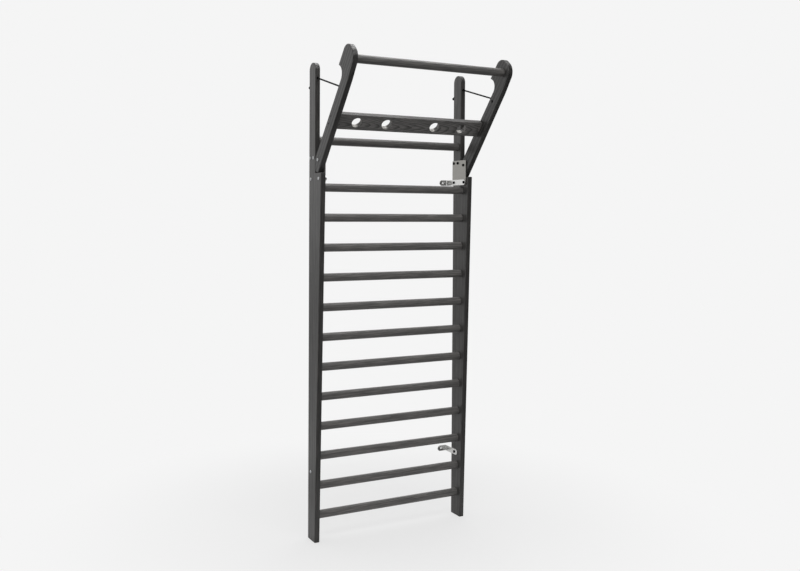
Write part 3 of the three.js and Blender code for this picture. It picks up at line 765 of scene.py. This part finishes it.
def bar_radius(wood, node):
    return (wood.rung_diameter if "rung" in node else wood.bar_diameter) / 2


def bar_socket(wood, side, node, inner):
    """The blind socket for one end of a bar, on the X axis."""
    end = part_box(node)[1].x + wood.socket_gap
    bore = plain_bore(inner - OVERCUT, end, bar_radius(wood, node) + wood.socket_gap, BAR_SIDES)
    return placed(bore, facing(side))


def upright(settings, side_name, side):
    wood = settings.wood
    low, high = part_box(f"{side_name}_upright")
    inner, outer = sorted((abs(low.x), abs(high.x)))
    post_round = wood.post_depth / 2
    bm = bmesh.new()
    trace(
        bm, (high.y - wood.foot_depth, 0), ((high.y, 0),), ((high.y, high.z - post_round),),
        ((high.y - post_round, high.z - post_round), math.pi),
        ((high.y - wood.post_depth, wood.shoulder_height),), ((low.y, wood.shoulder_height),))
    thicken(bm, low.x, high.x)
    round_edges(bm, sharp_edges(bm), wood.edge_round)
    tools = [post_hole(settings, side_name)]
    for node in rung_names():
        centre = middle(node)
        tools.append(placed(bar_socket(wood, side, node, inner), at(0, centre.y, centre.z)))
    for node in bolt_names(side_name):
        if "pivot" not in node:
            tools.append(bolt_bore(settings, side, node, inner, outer))
    return cut(bm, tools)


def round_bar(wood, node):
    """A rung or the pull-up bar: a turned rod with eased ends."""
    low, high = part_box(node)
    radius = bar_radius(wood, node)
    bm = bmesh.new()
    bmesh.ops.create_cone(
        bm, cap_ends=True, segments=BAR_SIDES, radius1=radius, radius2=radius, depth=high.x - low.x)
    round_edges(bm, sharp_edges(bm), wood.bar_end_round, BAR_END_STEPS)
    return placed(bm, Matrix.Rotation(QUARTER_TURN, 4, "Y"), Matrix.Translation((low + high) / 2))


def arm_outline(bm, wood):
    """A folded arm from the pivot: shank, head round the post's top, and a heel that turns on the pivot."""
    back = arm_back(wood)
    bar = LEAN.inverted() @ middle("pull_up_bar")
    notch_radius = wood.post_depth / 2 + wood.arm_gap
    notch = Vector((back + notch_radius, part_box("left_upright")[1].z - wood.post_depth / 2 - PIVOT.z))
    head_back = bar.y + wood.head_reach
    head_top = bar.z + wood.head_radius
    lip_y = head_back - wood.lip_round
    lip_rise = math.sqrt((notch_radius + wood.lip_round) ** 2 - (lip_y - notch.x) ** 2)
    lip_turn = math.pi - math.atan2(lip_rise, lip_y - notch.x)
    neck = Vector((back - wood.neck_width, notch.y + notch_radius))
    to_neck = neck - bar.yz
    head_end = math.atan2(to_neck.y, to_neck.x) % math.tau - math.acos(wood.head_radius / to_neck.length)
    down = (Vector((-wood.arm_front, 0)) - neck).normalized()
    nearest = neck - down * neck.dot(down)
    heel = nearest + down * math.sqrt(wood.heel_radius ** 2 - nearest.length_squared)
    heel_start = math.atan2(heel.y, heel.x)
    heel_end = -LEAN_ANGLE - math.acos(back / wood.heel_radius)
    trace(
        bm, (back, notch.y),
        (notch, -lip_turn),
        ((lip_y, notch.y + lip_rise), lip_turn),
        ((head_back, head_top - wood.head_corner),),
        ((head_back - wood.head_corner, head_top - wood.head_corner), QUARTER_TURN),
        ((bar.y, head_top),),
        (bar.yz, head_end - QUARTER_TURN),
        (neck,), (heel,),
        ((0, 0), heel_end - heel_start),
        ((back * math.cos(LEAN_ANGLE), -back * math.sin(LEAN_ANGLE)),),
        ((0, 0), LEAN_ANGLE))


def arm_cable_hole(settings, side_name):
    """The flared hole from an arm's back edge to the middle of its cross dowel."""
    mouth = arm_mouth(settings, side_name)
    reach = mouth.y - cable_anchor(side_name).y
    profile = flared_mouth(settings) + [(reach, cable_bore(settings)), (reach, 0)]
    return placed(turned(profile), along_x(Vector((0, -1, 0))), Matrix.Translation(mouth))


def arm(settings, side_name, side):
    wood, steel = settings.wood, settings.steel
    low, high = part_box(f"{side_name}_arm")
    inner, outer = sorted((abs(low.x), abs(high.x)))
    bm = bmesh.new()
    arm_outline(bm, wood)
    thicken(bm, low.x, high.x)
    round_edges(bm, sharp_edges(bm), wood.edge_round)
    bar = LEAN.inverted() @ middle("pull_up_bar")
    dowel = cable_anchor(side_name)
    bush = steel.barrel / 2 + steel.bush_wall + 2 * steel.bore_gap
    inside = inner - OVERCUT
    dowel_end = outer - settings.cables.dowel_cover
    dowel_bore = plain_bore(inside, dowel_end, settings.cables.dowel / 2 + steel.bore_gap)
    screws = screw_places(settings, side_name, side)
    bm = cut(bm, [
        placed(bar_socket(wood, side, "pull_up_bar", inner), at(0, bar.y, bar.z)),
        placed(plain_bore(inside, outer + OVERCUT, bush), facing(side)),
        placed(dowel_bore, facing(side), at(0, dowel.y, dowel.z)),
        *(placed(screw_bore(steel), facing(side), place) for place in screws),
    ])
    return placed(cut(bm, [arm_cable_hole(settings, side_name)]), LEAN)


def hook_board(settings):
    """A board between the arms with four holes for hooks and straps, drawn upright and then leaned out."""
    wood = settings.wood
    low, high = folded_box("hook_board")
    centre = (low + high) / 2
    bm = block(high - low)
    round_edges(bm, bm.edges[:], wood.edge_round)
    places = [side * x for x in (wood.hook_hole_inner, wood.hook_hole_outer) for side in (-1, 1)]
    bm = cut(bm, [placed(hook_hole(wood, high.y - low.y), at(x, 0, 0)) for x in places])
    for face in bm.faces:
        spot = face.calc_center_median()
        from_hole = min(math.hypot(spot.x - x, spot.z) for x in places)
        if from_hole < (wood.hook_hole + wood.hole_round) / 2:
            face.material_index = HOLE_SLOT
        # The edges get the darker copy of the stain: painted shade against the light from above
        elif abs(face.normal.z) > EDGE_FACING:
            face.material_index = EDGE_SLOT
    return placed(bm, Matrix.Translation(centre), LEAN)


def hook_hole(wood, thickness):
    """The tool for a hole along Y whose rims are rounded on both faces."""
    radius = wood.hook_hole / 2
    ease = wood.hole_round
    rim = []
    for step in range(RIM_STEPS + 1):
        angle = QUARTER_TURN * step / RIM_STEPS
        rim.append((-thickness / 2 + ease * (1 - math.cos(angle)), radius + ease * (1 - math.sin(angle))))
    start = -thickness / 2 - ease
    half = [(start, 0), (start, radius + ease), *rim]
    profile = half + [(-x, r) for x, r in reversed(half)]
    return placed(turned(profile, BAR_SIDES), along_x(Vector((0, 1, 0))))


def pivot_plate(settings, side_name):
    steel = settings.steel
    low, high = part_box(f"{side_name}_pivot_plate")
    small, large = steel.plate_corner, steel.plate_front_corner
    bm = bmesh.new()
    trace(
        bm, (high.y - small, low.z),
        ((high.y - small, low.z + small), QUARTER_TURN),
        ((high.y, high.z - small),), ((high.y - small, high.z - small), QUARTER_TURN),
        ((low.y + small, high.z),), ((low.y + small, high.z - small), QUARTER_TURN),
        ((low.y, low.z + large),), ((low.y + large, low.z + large), QUARTER_TURN))
    thicken(bm, low.x, high.x)
    round_edges(bm, sharp_edges(bm), steel.plate_edge, PLATE_EDGE_STEPS)
    holes = []
    for node in bolt_names(side_name):
        if "lower" not in node:
            centre = middle(node)
            bore = plain_bore(low.x - OVERCUT, high.x + OVERCUT, steel.shank / 2 + steel.bore_gap)
            holes.append(placed(bore, at(0, centre.y, centre.z)))
    return cut(bm, holes)


def strap_section(bm, steel, corner_x, width):
    """The strap's section where its bend starts, with its outer face at corner_x and the wall at Y = 0."""
    start = -steel.strap_thickness - steel.strap_bend
    inner = corner_x - steel.strap_thickness
    corners = ((inner, -width / 2), (corner_x, -width / 2), (corner_x, width / 2), (inner, width / 2))
    return bm.faces.new([bm.verts.new((x, start, z)) for x, z in corners])


def wall_bracket(settings, level, side):
    """A flat strap bent to an L: one leg on the upright and one on the wall, both with round ends."""
    steel = settings.steel
    low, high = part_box(f"right_{level}_wall_bracket")
    centre = (low + high) / 2
    width = high.z - low.z
    radius = steel.strap_thickness + steel.strap_bend
    bm = bmesh.new()
    section = strap_section(bm, steel, high.x, width)
    bend = bmesh.ops.spin(
        bm, geom=[section], cent=(high.x - radius, -radius, 0), axis=(0, 0, 1), angle=QUARTER_TURN,
        steps=STRAP_BEND_STEPS)
    wall_end = extend(bm, next(f for f in bend["geom_last"] if isinstance(f, bmesh.types.BMFace)))
    bmesh.ops.translate(bm, verts=wall_end.verts, vec=(low.x - high.x + radius, 0, 0))
    side_end = extend(bm, section)
    bmesh.ops.translate(bm, verts=side_end.verts, vec=(0, low.y + radius, 0))
    end_edges = [edge for end in (wall_end, side_end) for edge in end.edges]
    corners = [edge for edge in end_edges if abs(edge.verts[0].co.z - edge.verts[1].co.z) < MM]
    bmesh.ops.recalc_face_normals(bm, faces=bm.faces)
    round_edges(bm, corners, width / 2 * ALMOST, STRAP_END_STEPS)
    bmesh.ops.recalc_face_normals(bm, faces=bm.faces)
    round_edges(bm, sharp_edges(bm), steel.plate_edge, PLATE_EDGE_STEPS)
    shank = steel.shank / 2 + steel.bore_gap
    holes = []
    for node in bolt_names("right"):
        spot = middle(node)
        if abs(spot.z - centre.z) < width / 2:
            holes.append(placed(plain_bore(low.x, high.x + OVERCUT, shank), at(0, spot.y, 0)))
    wall_hole = plain_bore(-OVERCUT / 2, OVERCUT, steel.wall_hole / 2)
    holes.append(placed(wall_hole, along_x(Vector((0, 1, 0))), at(low.x + steel.wall_hole_end, 0, 0)))
    mirrored = Matrix.Rotation(0 if side > 0 else math.pi, 4, "Y")
    return placed(cut(bm, holes), mirrored, at(0, 0, centre.z))


def key_hole(across, from_x, to_x):
    """A six-sided key's path along X."""
    return plain_bore(from_x, to_x, across / math.sqrt(3), HEX_SIDES)


def dome(seat_x, top_x, radius, flat, skirt):
    """A button head's profile from its flat top to its seat: an arc from the flat to the skirt."""
    points = []
    height = seat_x - top_x
    for step in range(DOME_STEPS + 1):
        angle = QUARTER_TURN * step / DOME_STEPS
        x = top_x + height * (1 - skirt) * (1 - math.cos(angle))
        points.append((x, flat + (radius - flat) * math.sin(angle)))
    return [(top_x, 0), *points, (seat_x, radius)]


def bolt(settings, node):
    """A button-head bolt with its seat at X = 0 and its shank along +X."""
    steel = settings.steel
    low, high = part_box(node)
    length = high.x - low.x - steel.bolt_head_height
    head = (high.z - low.z) / 2
    shank = steel.shank / 2
    top = -steel.bolt_head_height
    chamfer = shank * BOLT_CHAMFER
    profile = dome(0, top, head, head * BOLT_FLAT, BOLT_SKIRT) + [
        (0, shank), (length - chamfer, shank), (length, shank - chamfer), (length, 0)]
    return cut(turned(profile), [key_hole(steel.bolt_key, top - OVERCUT, top + steel.key_depth)])


def sleeve_nut(settings, node):
    """A sleeve nut with its head's seat at X = 0, its dome outwards along +X and its barrel along -X."""
    steel = settings.steel
    low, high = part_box(node)
    head = (high.z - low.z) / 2
    barrel = steel.barrel / 2
    bore = steel.shank / 2 + steel.bore_gap
    top = steel.nut_head_height
    face = [(-x, r) for x, r in reversed(dome(0, -top, head, head * NUT_FLAT, NUT_SKIRT))]
    end = -steel.barrel_length
    profile = [
        (-steel.nut_web, 0), (-steel.nut_web, bore), (end, bore), (end, barrel), (0, barrel), *face]
    return cut(turned(profile), [key_hole(steel.nut_key, top - steel.key_depth, top + OVERCUT)])


def cross_dowel(settings, side_name, side):
    """The pin across an arm that holds a cable's end, with a slot in its inner end."""
    cables = settings.cables
    low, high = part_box(f"{side_name}_arm")
    inner, outer = sorted((abs(low.x), abs(high.x)))
    gap = settings.steel.bore_gap
    radius = cables.dowel / 2
    ease = radius * DOWEL_EASE
    start, end = inner + gap, outer - cables.dowel_cover - gap
    profile = [
        (start, 0), (start, radius - ease), (start + ease, radius), (end - ease, radius),
        (end, radius - ease), (end, 0)]
    slot = block((2 * cables.dowel_slot, 2 * cables.dowel, cables.dowel_slot))
    centre = cable_anchor(side_name)
    pin = cut(turned(profile), [placed(slot, at(start, 0, 0))])
    return placed(pin, facing(side), at(0, centre.y, centre.z), LEAN)


def stop_sleeve(settings, side_name):
    """The sleeve on a cable's end behind its post, with crimped grooves."""
    cables = settings.cables
    direction = post_hole_direction(cables)
    low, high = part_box(f"{side_name}_cable_stop")
    radius = (high.x - low.x) / 2
    length = cables.stop_length
    bore = cable_bore(settings)
    crimp = cables.stop_crimp
    ease = radius * STOP_EASE
    profile = [(0, bore), (0, radius - ease), (ease, radius)]
    for share in CRIMP_PLACES:
        groove = length * share
        profile += [
            (groove - crimp * 2, radius), (groove - crimp, radius - crimp),
            (groove + crimp, radius - crimp), (groove + crimp * 2, radius)]
    profile += [(length - ease, radius), (length, radius - ease), (length, bore), (0, bore)]
    seat_start = post_hole_length(settings) - cables.stop_seat
    start = post_mouth(settings, side_name) + direction * seat_start
    return placed(turned(profile), along_x(direction), Matrix.Translation(start))


def rounded_route(corners, radius):
    """Points a few millimetres apart along straight runs whose corners are rounded."""
    points = [corners[0]]
    for before, corner, after in zip(corners, corners[1:], corners[2:]):
        back, on = (before - corner).normalized(), (after - corner).normalized()
        reach = radius / math.tan(back.angle(on) / 2)
        bend = interpolate_bezier(
            corner + back * reach, corner + back * reach / BEND_HANDLE,
            corner + on * reach / BEND_HANDLE, corner + on * reach, BEND_STEPS)
        points += [*run(points[-1], bend[0]), *bend[1:]]
    return points + run(points[-1], corners[-1])


def run(start, end):
    """Evenly spaced points from after start to end."""
    count = max(1, round((end - start).length / ROPE_STEP))
    return [start.lerp(end, (i + 1) / count) for i in range(count)]


def rope(cables, route):
    """A wire rope of twisted strands along a route in a plane square to X. Its section turns as it goes."""
    bm = bmesh.new()
    section = bmesh.ops.create_circle(
        bm, cap_ends=True, segments=STRANDS * STRAND_SIDES, radius=cables.diameter / 2)["verts"]
    for number, vert in enumerate(section):
        share = abs((number % STRAND_SIDES) / STRAND_SIDES * 2 - 1)
        vert.co *= 1 - cables.groove / (cables.diameter / 2) * share ** 2
    end = section[0].link_faces[0]
    walked = 0.0
    turn_before = Matrix.Identity(4)
    for number, point in enumerate(route):
        ahead = route[min(number + 1, len(route) - 1)]
        behind = route[max(number - 1, 0)]
        tangent = (ahead - behind).normalized()
        walked += (point - behind).length
        across = Vector((1, 0, 0))
        axes = Matrix((across, tangent.cross(across), tangent)).transposed().to_4x4()
        turn = Matrix.Translation(point) @ axes @ Matrix.Rotation(math.tau * walked / cables.lay, 4, "Z")
        if number:
            end = extend(bm, end, keep=number == 1)
        bmesh.ops.transform(bm, matrix=turn @ turn_before.inverted(), verts=end.verts)
        turn_before = turn
    bmesh.ops.recalc_face_normals(bm, faces=bm.faces)
    return bm


def screw_places(settings, side_name, side):
    """The places of the hook board's screws in the outer face of a folded arm."""
    low, high = folded_box("hook_board")
    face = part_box(f"{side_name}_arm")[side > 0].x
    heights = (low.z + settings.steel.screw_edge, high.z - settings.steel.screw_edge)
    return [at(face, (low.y + high.y) / 2, height) for height in heights]


def screw_bore(steel):
    """A countersunk hole for a screw, with its rim at X = 0 and its depth along -X."""
    head = steel.screw_head / 2 + steel.bore_gap
    shank = steel.screw_head / 2 * SCREW_SHANK + steel.bore_gap
    profile = [
        (OVERCUT, 0), (OVERCUT, head), (-steel.screw_rim, head), (-steel.screw_rim - head + shank, shank),
        (-OVERCUT - steel.screw_length, shank), (-OVERCUT - steel.screw_length, 0)]
    return turned(profile)


def board_screw(settings):
    """A countersunk screw with a cross recess, its top at X = 0 and its shank along -X."""
    steel = settings.steel
    head = steel.screw_head / 2
    shank = head * SCREW_SHANK
    rim = steel.screw_rim
    profile = [
        (0, 0), (0, head - rim), (-rim, head), (-rim - head + shank, shank), (-steel.screw_length, shank),
        (-steel.screw_length - shank, 0)]
    screw = turned(profile)
    for angle in (0, QUARTER_TURN):
        blade = block([head * share for share in SCREW_RECESS])
        screw = cut(screw, [placed(blade, Matrix.Rotation(angle, 4, "X"))])
    return screw


# Operators, one for each piece or group of like pieces


class WALLBARS_OT_uprights(bpy.types.Operator):
    """Make both uprights, with their sockets and bores"""

    bl_idname = "wall_bars.uprights"
    bl_label = "Uprights"

    def execute(self, context):
        settings = context.scene.wall_bars
        for side_name, side in SIDES:
            finish_node(
                upright(settings, side_name, side), f"{side_name}_upright", WALL_FRAME,
                ash_upright(settings.colours), "stained_ash")
        return {"FINISHED"}


class WALLBARS_OT_rungs(bpy.types.Operator):
    """Make the rungs between the uprights and the one between the posts"""

    bl_idname = "wall_bars.rungs"
    bl_label = "Rungs"

    def execute(self, context):
        settings = context.scene.wall_bars
        for node in rung_names():
            finish = ash_bar if "upper" in node else ash_rung
            finish_node(
                round_bar(settings.wood, node), node, WALL_FRAME, finish(settings.colours), "stained_ash")
        return {"FINISHED"}


class WALLBARS_OT_arms(bpy.types.Operator):
    """Make the two arms of the pull-up frame"""

    bl_idname = "wall_bars.arms"
    bl_label = "Arms"

    def execute(self, context):
        settings = context.scene.wall_bars
        for side_name, side in SIDES:
            finish_node(
                arm(settings, side_name, side), f"{side_name}_arm", PULL_UP_FRAME, ash_arm(settings.colours),
                "stained_ash")
        return {"FINISHED"}


class WALLBARS_OT_pull_up_bar(bpy.types.Operator):
    """Make the bar between the arms' heads"""

    bl_idname = "wall_bars.pull_up_bar"
    bl_label = "Pull-up bar"

    def execute(self, context):
        settings = context.scene.wall_bars
        finish_node(
            round_bar(settings.wood, "pull_up_bar"), "pull_up_bar", PULL_UP_FRAME, ash_bar(settings.colours),
            "stained_ash")
        return {"FINISHED"}


class WALLBARS_OT_hook_board(bpy.types.Operator):
    """Make the board with four holes between the arms"""

    bl_idname = "wall_bars.hook_board"
    bl_label = "Hook board"

    def execute(self, context):
        settings = context.scene.wall_bars
        board = finish_node(
            hook_board(settings), "hook_board", PULL_UP_FRAME, ash_hook_board_painted_light(settings.colours),
            "stained_ash")
        board.data.materials.append(ash_hole_highlight(settings.colours))
        board.data.materials.append(ash_board_edge_painted_shade(settings.colours))
        return {"FINISHED"}


class WALLBARS_OT_pivot_plates(bpy.types.Operator):
    """Make the steel plates that carry the pivots"""

    bl_idname = "wall_bars.pivot_plates"
    bl_label = "Pivot plates"

    def execute(self, context):
        settings = context.scene.wall_bars
        for side_name, _ in SIDES:
            finish_node(
                pivot_plate(settings, side_name), f"{side_name}_pivot_plate", WALL_FRAME,
                brushed_stainless(settings.colours), "stainless_steel")
        return {"FINISHED"}


class WALLBARS_OT_wall_brackets(bpy.types.Operator):
    """Make the four bent straps that hold the uprights to the wall"""

    bl_idname = "wall_bars.wall_brackets"
    bl_label = "Wall brackets"

    def execute(self, context):
        settings = context.scene.wall_bars
        for level in ("upper", "lower"):
            for side_name, side in SIDES:
                finish_node(
                    wall_bracket(settings, level, side), f"{side_name}_{level}_wall_bracket", WALL_FRAME,
                    bright_strap(settings.colours), "stainless_steel")
        return {"FINISHED"}


class WALLBARS_OT_fasteners(bpy.types.Operator):
    """Make the bolts on the inside and the sleeve nuts on the outside"""

    bl_idname = "wall_bars.fasteners"
    bl_label = "Bolts and sleeve nuts"

    def execute(self, context):
        settings = context.scene.wall_bars
        steel, colours = settings.steel, settings.colours
        for side_name, side in SIDES:
            for node in bolt_names(side_name):
                low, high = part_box(node)
                seat = (low.x if side > 0 else high.x) + side * steel.bolt_head_height
                place = at(seat, middle(node).y, middle(node).z)
                shape = placed(bolt(settings, node), facing(side), place)
                finish_node(shape, node, WALL_FRAME, black_oxide(colours), "black_steel")
                node = node.replace("bolt", "nut")
                low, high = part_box(node)
                seat = (high.x if side > 0 else low.x) - side * steel.nut_head_height
                place = at(seat, middle(node).y, middle(node).z)
                shape = placed(sleeve_nut(settings, node), facing(side), place)
                finish_node(shape, node, WALL_FRAME, zinc_plate(colours), "zinc_plated_steel")
        return {"FINISHED"}


class WALLBARS_OT_pivot_bushes(bpy.types.Operator):
    """Finish the bushes in the arms, whose solids stay as they are"""

    bl_idname = "wall_bars.pivot_bushes"
    bl_label = "Pivot bushes"

    def execute(self, context):
        for side_name, _ in SIDES:
            bush = frame["nodes"][f"{side_name}_pivot_bush"]
            bush.data.materials.clear()
            bush.data.materials.append(sintered_bronze(context.scene.wall_bars.colours))
        return {"FINISHED"}


class WALLBARS_OT_stay_cables(bpy.types.Operator):
    """Make the stay cables with the dowels and stops at their ends"""

    bl_idname = "wall_bars.stay_cables"
    bl_label = "Stay cables"

    def execute(self, context):
        settings = context.scene.wall_bars
        cables, colours = settings.cables, settings.colours
        direction = post_hole_direction(cables)
        for side_name, side in SIDES:
            node = f"{side_name}_stay_cable"
            anchor = LEAN @ cable_anchor(side_name)
            arm_end = LEAN @ arm_mouth(settings, side_name)
            in_arm = arm_end + (anchor - arm_end).normalized() * cables.inside
            post_end = post_mouth(settings, side_name)
            in_post = post_end + direction * cables.inside
            stop_reach = cables.stop_length - cables.stop_seat
            tail_end = post_end + direction * (post_hole_length(settings) + stop_reach - CABLE_END_GAP)
            free = add_piece(
                rope(cables, rounded_route([in_arm, arm_end, post_end, in_post], cables.bend)),
                f"{node}_free_stretch", WALL_FRAME, oiled_rope(colours), "wire_rope", node)
            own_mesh(free)
            add_piece(
                rope(cables, [anchor, *run(anchor, in_arm)]), f"{node}_arm_end", PULL_UP_FRAME,
                oiled_rope(colours), "wire_rope", node)
            add_piece(
                rope(cables, [in_post, *run(in_post, tail_end)]), f"{node}_tail", WALL_FRAME,
                oiled_rope(colours), "wire_rope", node)
            finish_node(
                cross_dowel(settings, side_name, side), f"{side_name}_cable_dowel", PULL_UP_FRAME,
                black_oxide(colours), "black_steel")
            finish_node(
                stop_sleeve(settings, side_name), f"{side_name}_cable_stop", WALL_FRAME, black_oxide(colours),
                "black_steel")
        return {"FINISHED"}


class WALLBARS_OT_board_screws(bpy.types.Operator):
    """Make the screws that hold the hook board to the arms"""

    bl_idname = "wall_bars.board_screws"
    bl_label = "Hook board screws"

    def execute(self, context):
        settings = context.scene.wall_bars
        for side_name, side in SIDES:
            for number, place in enumerate(screw_places(settings, side_name, side), 1):
                add_piece(
                    placed(board_screw(settings), facing(side), place, LEAN),
                    f"{side_name}_hook_board_screw_{number}", PULL_UP_FRAME, black_oxide(settings.colours),
                    "black_steel")
        return {"FINISHED"}


class WALLBARS_OT_stage(bpy.types.Operator):
    """Make the floor, the light and the camera"""

    bl_idname = "wall_bars.stage"
    bl_label = "Stage"

    def execute(self, context):
        scene = context.scene
        scene.view_settings.view_transform = "Standard"
        make_floor(scene)
        make_light(scene)
        make_camera(scene)
        return {"FINISHED"}


def make_floor(scene):
    """A pale matt floor that fades into the backdrop, so that only a soft shadow shows where it lies."""
    bm = bmesh.new()
    bmesh.ops.create_circle(bm, cap_ends=True, segments=FLOOR_SIDES, radius=FLOOR_RADIUS)
    floor = new_object(bm, "studio_floor")
    pale = scene.wall_bars.colours.floor
    material, tree = new_material("matt_white_floor")
    place = add_node(tree, "ShaderNodeTexCoord").outputs["Object"]
    away = add_node(tree, "ShaderNodeVectorMath", {0: place}, operation="LENGTH").outputs["Value"]
    fade = add_node(
        tree, "ShaderNodeMapRange",
        {"Value": away, "From Min": FLOOR_FADE[0], "From Max": FLOOR_FADE[1], "To Min": FLOOR_SHADE,
         "To Max": 0.0},
        interpolation_type="SMOOTHSTEP").outputs[0]
    matt = add_node(tree, "ShaderNodeBsdfDiffuse", {"Color": pale}).outputs[0]
    even = add_node(tree, "ShaderNodeEmission", {"Color": pale}).outputs[0]
    lit = add_node(tree, "ShaderNodeMixShader", {0: fade, 1: even, 2: matt}).outputs[0]
    bounce = add_node(
        tree, "ShaderNodeMapRange",
        {"Value": away, "From Min": FLOOR_BOUNCE_FADE[0], "From Max": FLOOR_BOUNCE_FADE[1],
         "To Min": FLOOR_BOUNCE, "To Max": FLOOR_FAR_BOUNCE},
        interpolation_type="SMOOTHSTEP").outputs[0]
    depth = add_node(tree, "ShaderNodeSeparateXYZ", {0: place}).outputs["Y"]
    back = add_node(
        tree, "ShaderNodeMapRange",
        {"Value": depth, "From Min": FLOOR_BACK_FADE[0], "From Max": FLOOR_BACK_FADE[1], "To Min": 0.0,
         "To Max": FLOOR_BACK_BOUNCE},
        interpolation_type="SMOOTHSTEP").outputs[0]
    most = add_node(tree, "ShaderNodeMath", {0: bounce, 1: back}, operation="MAXIMUM").outputs[0]
    dim = add_node(tree, "ShaderNodeBsdfDiffuse", {"Color": most}).outputs[0]
    seen = add_node(tree, "ShaderNodeLightPath").outputs["Is Camera Ray"]
    surface = add_node(tree, "ShaderNodeMixShader", {0: seen, 1: dim, 2: lit}).outputs[0]
    add_node(tree, "ShaderNodeOutputMaterial", {"Surface": surface})
    floor.data.materials.append(material)


def make_light(scene):
    """A pale backdrop behind, a dimmer room in front and below, and soft boxes left, above and in front."""
    world = bpy.data.worlds.new("studio_room")
    scene.world = world
    world.use_nodes = True
    tree = world.node_tree
    tree.nodes.clear()
    pale = scene.wall_bars.colours.floor
    ahead = add_node(tree, "ShaderNodeTexCoord").outputs["Generated"]
    parts = add_node(tree, "ShaderNodeSeparateXYZ", {0: ahead}).outputs
    behind = add_node(
        tree, "ShaderNodeMapRange",
        {"Value": parts["Y"], "From Min": ROOM_TURN[0], "From Max": ROOM_TURN[1], "To Min": ROOM_FRONT,
         "To Max": ROOM_BACK},
        interpolation_type="SMOOTHSTEP").outputs[0]
    height = add_node(
        tree, "ShaderNodeMapRange",
        {"Value": parts["Z"], "From Min": ROOM_RISE[0], "From Max": ROOM_RISE[1], "To Min": ROOM_BELOW,
         "To Max": 1.0},
        interpolation_type="SMOOTHSTEP").outputs[0]
    glow = add_node(tree, "ShaderNodeMath", {0: behind, 1: height}, operation="MULTIPLY").outputs[0]
    room = add_node(tree, "ShaderNodeBackground", {"Strength": glow}).outputs[0]
    backdrop = add_node(tree, "ShaderNodeBackground", {"Color": pale, "Strength": 1.0}).outputs[0]
    seen = add_node(tree, "ShaderNodeLightPath").outputs["Is Camera Ray"]
    mixed = add_node(tree, "ShaderNodeMixShader", {0: seen, 1: room, 2: backdrop}).outputs[0]
    add_node(tree, "ShaderNodeOutputWorld", {"Surface": mixed})
    for name, place, size, power in SOFT_BOXES:
        light = bpy.data.lights.new(name, "AREA")
        light.shape = "RECTANGLE"
        light.size, light.size_y = size
        light.energy = power
        lamp = bpy.data.objects.new(name, light)
        lamp.location = place
        lamp.rotation_euler = (Vector(LIGHT_TARGET) - lamp.location).to_track_quat("-Z", "Y").to_euler()
        scene.collection.objects.link(lamp)


def make_camera(scene):
    """A camera at head height to the left, turned and shifted to frame the whole object upright."""
    ahead = Vector((math.sin(CAMERA_YAW), math.cos(CAMERA_YAW), 0))
    right = Vector((math.cos(CAMERA_YAW), -math.sin(CAMERA_YAW), 0))
    up = Vector((0, 0, 1))
    view = ahead * math.cos(CAMERA_PITCH) + up * math.sin(CAMERA_PITCH)
    top = up * math.cos(CAMERA_PITCH) - ahead * math.sin(CAMERA_PITCH)
    across = right * math.cos(CAMERA_ROLL) + top * math.sin(CAMERA_ROLL)
    top = top * math.cos(CAMERA_ROLL) - right * math.sin(CAMERA_ROLL)
    data = bpy.data.cameras.new("camera")
    data.lens = CAMERA_LENS
    data.sensor_width = CAMERA_SENSOR
    data.shift_y = CAMERA_SHIFT
    camera = bpy.data.objects.new("camera", data)
    axes = Matrix((across, top, -view)).transposed().to_4x4()
    camera.matrix_world = Matrix.Translation(CAMERA_PLACE) @ axes
    scene.collection.objects.link(camera)
    scene.camera = camera


OPERATORS = (
    WALLBARS_OT_stage,
    WALLBARS_OT_stay_cables,
    WALLBARS_OT_uprights,
    WALLBARS_OT_rungs,
    WALLBARS_OT_arms,
    WALLBARS_OT_pull_up_bar,
    WALLBARS_OT_hook_board,
    WALLBARS_OT_pivot_plates,
    WALLBARS_OT_wall_brackets,
    WALLBARS_OT_fasteners,
    WALLBARS_OT_pivot_bushes,
    WALLBARS_OT_board_screws,
)


class WALLBARS_PT_panel(bpy.types.Panel):
    """The wall bars' pieces, sizes and colours"""

    bl_idname = "WALLBARS_PT_panel"
    bl_label = "Wall bars"
    bl_space_type = "VIEW_3D"
    bl_region_type = "UI"
    bl_category = "Wall bars"

    def draw(self, context):
        for operator in OPERATORS:
            self.layout.operator(operator.bl_idname)
        settings = context.scene.wall_bars
        for group in (settings.wood, settings.steel, settings.cables, settings.colours):
            column = self.layout.column()
            for name in group.__annotations__:
                column.prop(group, name)


CLASSES = (
    WallBarsWood, WallBarsSteel, WallBarsCables, WallBarsColours, WallBarsSettings, *OPERATORS,
    WALLBARS_PT_panel)


def register():
    for kind in CLASSES:
        bpy.utils.register_class(kind)
    bpy.types.Scene.wall_bars = PointerProperty(type=WallBarsSettings)


def unregister():
    del bpy.types.Scene.wall_bars
    for kind in reversed(CLASSES):
        bpy.utils.unregister_class(kind)


def main():
    register()
    for operator in OPERATORS:
        group, name = operator.bl_idname.split(".")
        getattr(getattr(bpy.ops, group), name)()


if __name__ == "__main__":
    main()
